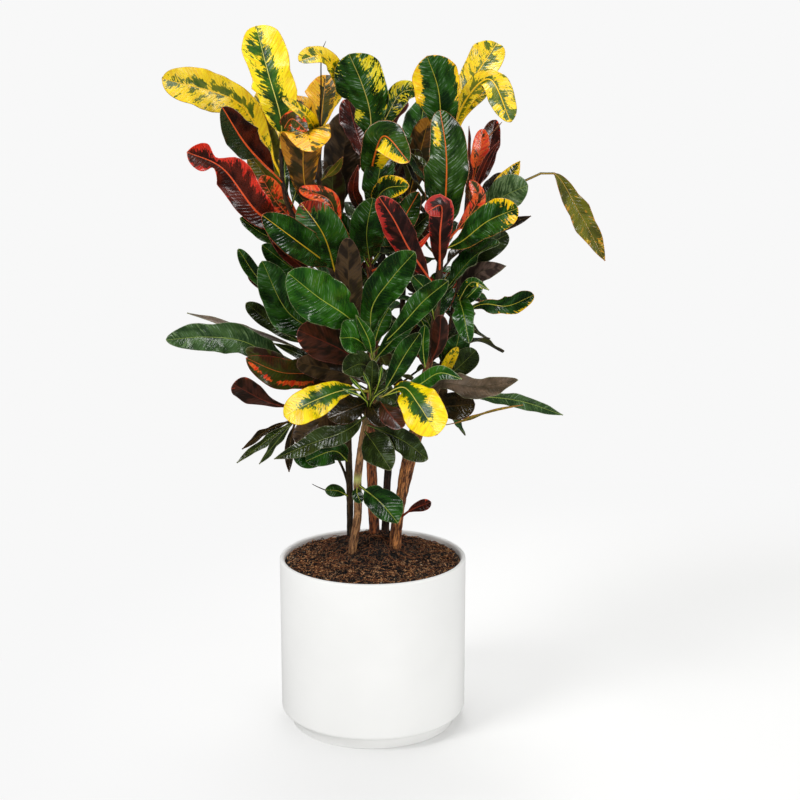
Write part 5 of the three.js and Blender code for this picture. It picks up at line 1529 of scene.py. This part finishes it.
class Soil:
    """The heap of coir that fills the planter, with crumbs and fibres on it. Sizes in millimetres."""

    radius = 104.15
    lower_radius = 92.15
    bottom = 7.35
    shelf = 20.35
    level = 194.0
    mound = (2.0, 22.0)
    mound_height = 26.0
    mound_spread = 52.0
    # The heap's mesh: sides, rings, and the band at the wall where the relief runs out.
    sides, rings = 168, 84
    calm_band = 1.5
    # The relief: its mean, then the size and the height of its broad swells, its crumbs and its grains.
    relief_mean = 2.2
    relief = ((17.0, 3.1, 1.4), (5.2, 8.3, 1.6), (2.1, 1.7, 1.0))
    # How many of each lie on the heap, and the least and greatest size of a crumb and a pale grain.
    strands, crumbs, pale_grains = 1500, 900, 190
    crumb_size = (0.7, 2.2)
    grain_size = (0.45, 0.95)
    # A fibre's length, curl, arch and radius, each as least and greatest, and its taper from end to end.
    strand_long = (5, 24)
    strand_curl = (-0.09, 0.09)
    strand_arch = (0.1, 2.4)
    strand_thick = (0.2, 0.62)
    strand_taper = (0.5, 1, 1, 1, 0.9, 0.4)
    strand_room = 98.0

    def __init__(self, seed: int = 7) -> None:
        """Keep the draw that scatters the crumbs and fibres."""
        self.draw = np.random.default_rng(seed)

    def height(self, x: np.ndarray, y: np.ndarray) -> np.ndarray:
        """Give the heap's smooth height at places of the plan."""
        away = ((x - self.mound[0]) ** 2 + (y - self.mound[1]) ** 2) / self.mound_spread**2
        inside = np.maximum(0, 1 - (np.hypot(x, y) / self.radius) ** 6)
        return self.level + self.mound_height * np.exp(-away) * inside

    def rough(self, x: float, y: float) -> float:
        """Give the crumbs' relief at a place of the plan."""
        return self.relief_mean + sum(
            high * noise.noise(Vector((x / wide, y / wide, depth))) for wide, depth, high in self.relief)

    def ground(self, x: float, y: float) -> float:
        """Give the height of the crumbly top at a place of the plan."""
        return float(self.height(np.array(x), np.array(y))) + self.rough(x, y)

    def build_heap(self, material: bpy.types.Material) -> bpy.types.Object:
        """Model the heap: a closed body with a crumbly top.

        Args:
            material: The finish.

        Returns:
            The piece.
        """
        blank = Blank.tube(self.sides, self.rings)
        ring = np.round(blank.corners[:, 2] * self.rings).astype(int)
        angle = np.arctan2(blank.corners[:, 1], blank.corners[:, 0])
        top = self.radius * np.clip((self.rings - ring) / (self.rings - 4), 0.006, 1)
        radius = np.select([ring == 0, ring < 3], [2.0, self.lower_radius], top)
        x, y = radius * np.cos(angle), radius * np.sin(angle)
        calm = np.minimum(1, (self.radius - radius) / self.calm_band)
        relief = np.array([self.rough(a, b) for a, b in zip(x, y)]) * calm
        z = np.select([ring < 2, ring < 4], [self.bottom, self.shelf], self.height(x, y) + relief)
        heap = Assembly("soil_heap")
        heap.add(blank, np.stack([x, y, z], 1))
        return heap.build([material], "coir_soil", "soil")

    def build_litter(self, materials: list[bpy.types.Material]) -> bpy.types.Object:
        """Scatter fibres, crumbs and pale grains over the heap.

        Args:
            materials: Pale fibre, dark fibre, crumb and pale grain.

        Returns:
            The piece.
        """
        litter = Assembly("soil_litter")
        strand = Blank.tube(3, len(self.strand_taper) - 1)
        grain = Blank.crumb()
        for i in range(self.strands):
            litter.add(strand, self._strand(strand), finish=0 if i % 3 else 1)
        for count, sizes, finish in ((self.crumbs, self.crumb_size, 2), (self.pale_grains, self.grain_size, 3)):
            for _ in range(count):
                litter.add(grain, self._grain(grain, self.draw.uniform(*sizes)), finish=finish)
        return litter.build(materials, "coir_soil")

    def _spot(self) -> tuple[float, float]:
        """Draw a place on the heap, away from the wall."""
        radius = (self.radius - 5) * math.sqrt(self.draw.uniform(0, 1))
        bearing = self.draw.uniform(0, 2 * math.pi)
        return radius * math.cos(bearing), radius * math.sin(bearing)

    def _grain(self, blank: Blank, size: float) -> np.ndarray:
        """Place one crumb.

        Args:
            blank: The crumb's blank.
            size: Its radius.

        Returns:
            Its corners.
        """
        x, y = self._spot()
        shape = blank.corners * self.draw.uniform(0.55, 1.25, (len(blank.corners), 1)) * size
        shape = shape * np.array([1.0, self.draw.uniform(0.6, 1.0), self.draw.uniform(0.5, 0.8)])
        turn = self.draw.uniform(0, 2 * math.pi)
        turned = np.stack([shape[:, 0] * math.cos(turn) - shape[:, 1] * math.sin(turn),
                           shape[:, 0] * math.sin(turn) + shape[:, 1] * math.cos(turn), shape[:, 2]], 1)
        return turned + np.array([x, y, self.ground(x, y) + 0.2 * size])

    def _strand(self, blank: Blank) -> np.ndarray:
        """Lay one curly fibre over the heap.

        Args:
            blank: The fibre's blank.

        Returns:
            Its corners.
        """
        x, y = self._spot()
        bearing = self.draw.uniform(0, 2 * math.pi)
        length, curl, raised, thick = (
            self.draw.uniform(*span)
            for span in (self.strand_long, self.strand_curl, self.strand_arch, self.strand_thick))
        count = len(self.strand_taper)
        steps = np.linspace(-0.5, 0.5, count)
        heading = bearing + curl * steps * length
        px = np.clip(x + np.cumsum(np.cos(heading)) * length / count, -self.strand_room, self.strand_room)
        py = np.clip(y + np.cumsum(np.sin(heading)) * length / count, -self.strand_room, self.strand_room)
        outside = np.maximum(1, np.hypot(px, py) / (self.radius - 2.5))
        px, py = px / outside, py / outside
        ground = np.array([self.ground(a, b) for a, b in zip(px, py)])
        pz = ground + raised * (1 - (2 * steps) ** 2) + 0.3
        return sweep(blank, np.stack([px, py, pz], 1), thick * np.array(self.strand_taper))


def sweep(blank: Blank, points: np.ndarray, radii: np.ndarray) -> np.ndarray:
    """Bend a tube along points.

    Args:
        blank: A tube's blank with a ring for each point.
        points: The points of its axis.
        radii: The radius at each point, or at each corner.

    Returns:
        The tube's corners.
    """
    last = len(points) - 1
    ring = np.round(blank.corners[:, 2] * last).astype(int)
    along = unit(np.gradient(points, axis=0))
    first = np.cross(along[0], [0.31, 0.52, 0.79])
    normals = [first / np.linalg.norm(first)]
    for direction in along[1:]:
        normal = normals[-1] - direction * (normals[-1] @ direction)
        normals.append(normal / np.linalg.norm(normal))
    normal = np.array(normals)
    other = np.cross(along, normal)
    radius = radii if len(radii) == len(ring) else radii[ring]
    turned = normal[ring] * blank.corners[:, :1] + other[ring] * blank.corners[:, 1:2]
    return points[ring] + turned * radius[:, None]


# Bare twigs and stalks that carry no leaf: the stem they grow from, their places, and the radii at both ends.
TWIGS: tuple[tuple, ...] = (
    ("stem_left", ((320, 132, 0), (321, 92, -4), (322, 51, -10), (326, 41, -12)), (1.2, 0.5)),
    ("stem_right", ((470, 176, 42), (484, 143, 46), (502, 122, 46)), (1.1, 0.8)),
    ("stem_left", ((325, 490, 30), (318, 487, 26), (312, 484, 22)), (0.7, 0.4)),
)

# Young green wood: the height where it is greenest, how far it reaches up and down, and its strength.
GREEN_WOOD: dict[str, tuple[Three, ...]] = {
    "stem_front": ((300.0, 5.5, 1.0), (440.0, 55.0, 0.5)),
    "stem_left": ((390.0, 90.0, 0.6),),
    "stem_right": ((540.0, 130.0, 0.9),),
}


class Wood:
    """The wood of one stem: round branches with bark, leaf scars and a few bare twigs. Sizes in millimetres."""

    sides = 18
    ring_step = 2.6
    fewest_rings = 8
    twig_rings = 13
    twig_number = 9
    # Leaf scars: how far apart they lie, where in each step, how wide and how high they are, and their sway.
    scar_step, scar_at, scar_wide, scar_high = 11.5, 5.7, 1.1, 0.28
    scar_sway, scar_sway_pace = 3.0, 9.0
    # The bark's ridges and its finer grain: scale round the stem, pace along it and share of the depth.
    ridge_scale, ridge_pace, ridge_share = 2.1, 13.0, 0.9
    grain_scale, grain_pace, grain_share = 4.4, 6.0, 0.5
    full_relief_from = 4.0
    end_share = 0.45
    # How the finish reads the bark: the pattern is drawn out along the stem, and starts anew on each branch.
    drawn_out, branch_apart = 5.0, 31.0

    def __init__(self, foliage: Foliage, node: str, ridges: float) -> None:
        """Take the stem's branches.

        Args:
            foliage: The plant.
            node: The stem's name.
            ridges: How deep its bark is furrowed.
        """
        self.branches = [branch for branch in foliage.branches.values() if branch.node == node]
        self.node = node
        self.ridges = ridges

    def build(self, material: bpy.types.Material, slot: str) -> bpy.types.Object:
        """Model the wood.

        Args:
            material: The bark.
            slot: The record's material slot.

        Returns:
            The piece.
        """
        wood = Assembly(self.node.replace("stem_", "wood_"))
        for number, branch in enumerate(self.branches):
            rings = max(self.fewest_rings, round(branch.way.length / self.ring_step))
            t = np.linspace(0, 1, rings + 1)
            self._add(wood, branch.way.at(t), branch.radius(t), branch.way.length, number)
        for node, places, radii in TWIGS:
            if node == self.node:
                way = Way([VIEW.seen(place) for place in places])
                t = np.linspace(0, 1, self.twig_rings + 1)
                self._add(wood, way.at(t), np.interp(t, [0, 1], radii), way.length, self.twig_number)
        return wood.build([material], slot, self.node)

    @staticmethod
    def _knobs(around: np.ndarray, along: np.ndarray) -> np.ndarray:
        """Read a soft relief at places round and along the stem."""
        return np.array([noise.noise(Vector((c[0], c[1], r))) for c, r in zip(around, along)])

    def _add(self, wood: Assembly, points: np.ndarray, radii: np.ndarray, length: float, number: int) -> None:
        """Add one branch with its relief.

        Args:
            wood: The piece.
            points: The axis.
            radii: The radius at each point.
            length: The branch's length.
            number: Sets one branch's bark apart from the next one's.
        """
        last = len(points) - 1
        blank = Blank.tube(self.sides, last)
        around = blank.corners[:, :2]
        ring = np.round(blank.corners[:, 2] * last).astype(int)
        run = blank.corners[:, 2] * length
        swayed = run + self.scar_sway * np.sin(run / self.scar_sway_pace + number)
        scars = np.exp(-((np.mod(swayed, self.scar_step) - self.scar_at) / self.scar_wide) ** 2)
        radius = radii[ring]
        ridges = self._knobs(around * self.ridge_scale, run / self.ridge_pace + 5 * number)
        grain = self._knobs(around * self.grain_scale, run / self.grain_pace + 5 * number)
        bark = self.ridges * (self.ridge_share * ridges + self.grain_share * grain)
        relief = np.minimum(1, radius / self.full_relief_from) * (bark + self.scar_high * scars)
        tip = np.where(ring == last, self.end_share, 1.0)
        corners = sweep(blank, points, (radius + relief) * tip)
        along = run / self.drawn_out + self.branch_apart * number
        young = np.zeros((len(corners), 1))
        for height, reach, strength in GREEN_WOOD.get(self.node, ()):
            young = np.maximum(young, strength * np.exp(-(((corners[:, 2:] - height) / reach) ** 2)))
        wood.add(blank, corners, {"bark": np.column_stack([around * radius[:, None], along]),
                                  "young": np.repeat(young, 3, axis=1)})


# The leaf blanks: the smallest area in square millimetres that each is for, and its rows and columns.
SLABS = ((3600.0, 58, 18), (1500.0, 44, 14), (0.0, 30, 10))


class Crown:
    """The leaves of one stem."""

    def __init__(self, foliage: Foliage, node: str, blanks: list[tuple[float, Blank]]) -> None:
        """Take the stem's leaves.

        Args:
            foliage: The plant.
            node: The stem's name.
            blanks: The smallest area that each blank is for, largest first.
        """
        self.node = node
        self.leaves = [leaf for leaf in foliage.leaves if leaf.node == node]
        self.blanks = blanks

    def build(self, finishes: dict[str, bpy.types.Material], slot: str) -> bpy.types.Object:
        """Model the leaves as one piece.

        Args:
            finishes: The leaf finishes by letter.
            slot: The record's material slot.

        Returns:
            The piece.
        """
        tones = sorted({leaf.tone for leaf in self.leaves})
        crown = Assembly(self.node.replace("stem_", "leaves_"))
        for leaf in self.leaves:
            area = leaf.wide * leaf.way(leaf.bend).length
            blank = next(blank for least, blank in self.blanks if area >= least)
            corners, readings = leaf.shape(blank.corners)
            crown.add(blank, corners, readings, tones.index(leaf.tone))
        return crown.build([finishes[tone] for tone in tones], slot, self.node)


class Studio:
    """The camera, the floor and the soft light. Places and sizes are in metres, powers in watts."""

    paper = tint(248, 248, 248)
    floor_paper = tint(235, 235, 234)
    white = (1.0, 1.0, 1.0, 1.0)
    ambient = 0.72
    ambient_in_gloss = 0.05
    middle = (0.0, 0.0, 0.42)
    sensor = 36.0
    # The floor takes shadow round one place, and glows into the backdrop's colour between two distances from it.
    shaded = (0.5, 0.1, 0.0)
    fade_from, fade_to = 0.35, 1.0
    least_glow = 0.05
    # Each light's name, place, side and power, whether it lights what is matte, and whether gloss mirrors it.
    lamps = (
        ("key", (-1.4, -1.2, 2.0), 0.8, 23, True, True),
        ("overhead", (0.2, 0.6, 2.3), 0.8, 16, True, True),
        ("right", (1.6, -0.7, 1.5), 0.6, 16, False, True),
        ("fill", (1.6, -2.2, 0.5), 1.6, 22, True, False),
        ("back", (-0.3, 2.0, 1.2), 1.4, 4, True, False),
    )

    def camera(self) -> None:
        """Set the camera at the view that the places are read in."""
        data = bpy.data.cameras.new("camera")
        data.sensor_width = self.sensor
        data.lens = self.sensor * VIEW.focal / (2 * VIEW.middle)
        data.clip_end = 100
        camera = bpy.data.objects.new("camera", data)
        camera.location = Vector(VIEW.eye) * MM
        camera.rotation_euler = (math.radians(90 - VIEW.pitch_deg), 0, 0)
        bpy.context.scene.collection.objects.link(camera)
        bpy.context.scene.camera = camera

    def floor(self) -> None:
        """Lay a pale floor that fades into the backdrop's colour."""
        clear_selection()
        bpy.ops.mesh.primitive_circle_add(vertices=96, radius=40, fill_type="NGON")
        floor = bpy.context.object
        floor.name = "floor"
        p = Painter("floor_paper")
        away = p.node("ShaderNodeVectorMath", {0: p.place(), 1: self.shaded}, operation="DISTANCE")
        matte = p.node("ShaderNodeBsdfDiffuse", {"Color": self.floor_paper})
        glow = p.node("ShaderNodeEmission", {"Color": self.paper, "Strength": 1.0})
        share = p.rise(away.outputs["Value"], self.fade_from, self.fade_to, self.least_glow, 1.0)
        both = p.node("ShaderNodeMixShader", {0: share, 1: matte.outputs[0], 2: glow.outputs[0]})
        p.tree.links.new(both.outputs[0], p.output.inputs[0])
        floor.data.materials.append(p.material)
        floor.visible_glossy = False

    def world(self) -> None:
        """Surround the plant with even light that its gloss hardly mirrors, before plain paper."""
        world = bpy.data.worlds.new("studio")
        bpy.context.scene.world = world
        world.use_nodes = True
        tree = world.node_tree
        tree.nodes.clear()

        def light(colour: Colour, strength: float) -> Socket:
            """Add a light of one colour."""
            made = tree.nodes.new("ShaderNodeBackground")
            made.inputs[0].default_value = colour
            made.inputs[1].default_value = strength
            return made.outputs[0]

        path = tree.nodes.new("ShaderNodeLightPath")
        seen = light(self.white, self.ambient)
        for ray, colour, strength in (("Is Camera Ray", self.paper, 1.0),
                                      ("Is Glossy Ray", self.white, self.ambient_in_gloss)):
            both = tree.nodes.new("ShaderNodeMixShader")
            tree.links.new(path.outputs[ray], both.inputs[0])
            tree.links.new(seen, both.inputs[1])
            tree.links.new(light(colour, strength), both.inputs[2])
            seen = both.outputs[0]
        output = tree.nodes.new("ShaderNodeOutputWorld")
        tree.links.new(seen, output.inputs[0])

    def lamp(self, name: str, place: Place, size: float, power: float, lit: bool, mirrored: bool) -> None:
        """Hang a square soft light.

        Args:
            name: The light's name.
            place: Where it hangs.
            size: The length of its side.
            power: Its power.
            lit: Whether it lights what is matte.
            mirrored: Whether gloss shows it.
        """
        data = bpy.data.lights.new(name, "AREA")
        data.shape = "SQUARE"
        data.size = size
        data.energy = power
        lamp = bpy.data.objects.new(name, data)
        lamp.location = place
        lamp.rotation_euler = (Vector(self.middle) - Vector(place)).to_track_quat("-Z", "Y").to_euler()
        lamp.visible_diffuse = lit
        lamp.visible_glossy = mirrored
        bpy.context.scene.collection.objects.link(lamp)

    def build(self) -> None:
        """Set the whole studio."""
        bpy.context.scene.view_settings.view_transform = "Standard"
        self.camera()
        self.floor()
        self.world()
        for row in self.lamps:
            self.lamp(*row)


def main() -> None:
    """Build the studio, the planter, the soil, the wood and the leaves."""
    logging.basicConfig(level=logging.INFO, format="%(name)s %(message)s")
    Studio().build()
    Pot().build()
    soil = Soil()
    coir = CoirFinish("coir", tint(216, 160, 108), tint(66, 37, 21), tint(10, 5, 3)).material()
    soil.build_heap(coir)
    soil.build_litter([
        CoirFinish("fibre_pale", tint(236, 176, 118), tint(184, 118, 66), tint(110, 62, 32)).material(),
        CoirFinish("fibre_dark", tint(90, 54, 32), tint(50, 28, 18), tint(20, 11, 7)).material(),
        CoirFinish("crumb", tint(120, 72, 38), tint(48, 27, 15), tint(12, 6, 4)).material(),
        CoirFinish("grain_pale", tint(226, 214, 190), tint(202, 186, 158), tint(150, 130, 104)).material(),
    ])
    foliage = Foliage()
    LOG.info("%d leaves, %d of them bent", len(foliage.leaves), sum(leaf.bend != 0 for leaf in foliage.leaves))
    barks = {
        "stem_front": (BarkFinish("bark_pale", tint(186, 134, 84), tint(120, 76, 42), tint(58, 36, 20),
                                   tint(196, 200, 112), 0.0007), 0.35),
        "stem_left": (BarkFinish("bark_dark", tint(92, 66, 34), tint(46, 32, 18), tint(16, 11, 7),
                                  tint(84, 76, 26), 0.0011), 0.6),
        "stem_centre": (BarkFinish("bark_red", tint(186, 104, 52), tint(92, 46, 24), tint(24, 13, 8),
                                    tint(120, 110, 50), 0.0012), 0.7),
        "stem_right": (BarkFinish("bark_orange", tint(228, 148, 80), tint(120, 62, 28), tint(30, 15, 9),
                                   tint(60, 50, 26), 0.0016), 1.1),
        "stem_back": (BarkFinish("bark_brown", tint(84, 54, 32), tint(44, 28, 17), tint(16, 11, 7),
                                  tint(84, 76, 26), 0.0011), 0.6),
    }
    finishes = {letter: finish.material() for letter, finish in leaf_finishes().items()}
    blanks = [(least, Blank.slab(rows, columns)) for least, rows, columns in SLABS]
    for node, (bark, ridges) in barks.items():
        slot = node.replace("stem_", "foliage_")
        Wood(foliage, node, ridges).build(bark.material(), slot)
        Crown(foliage, node, blanks).build(finishes, slot)


if __name__ == "__main__":
    main()
    bpy.context.view_layer.update()
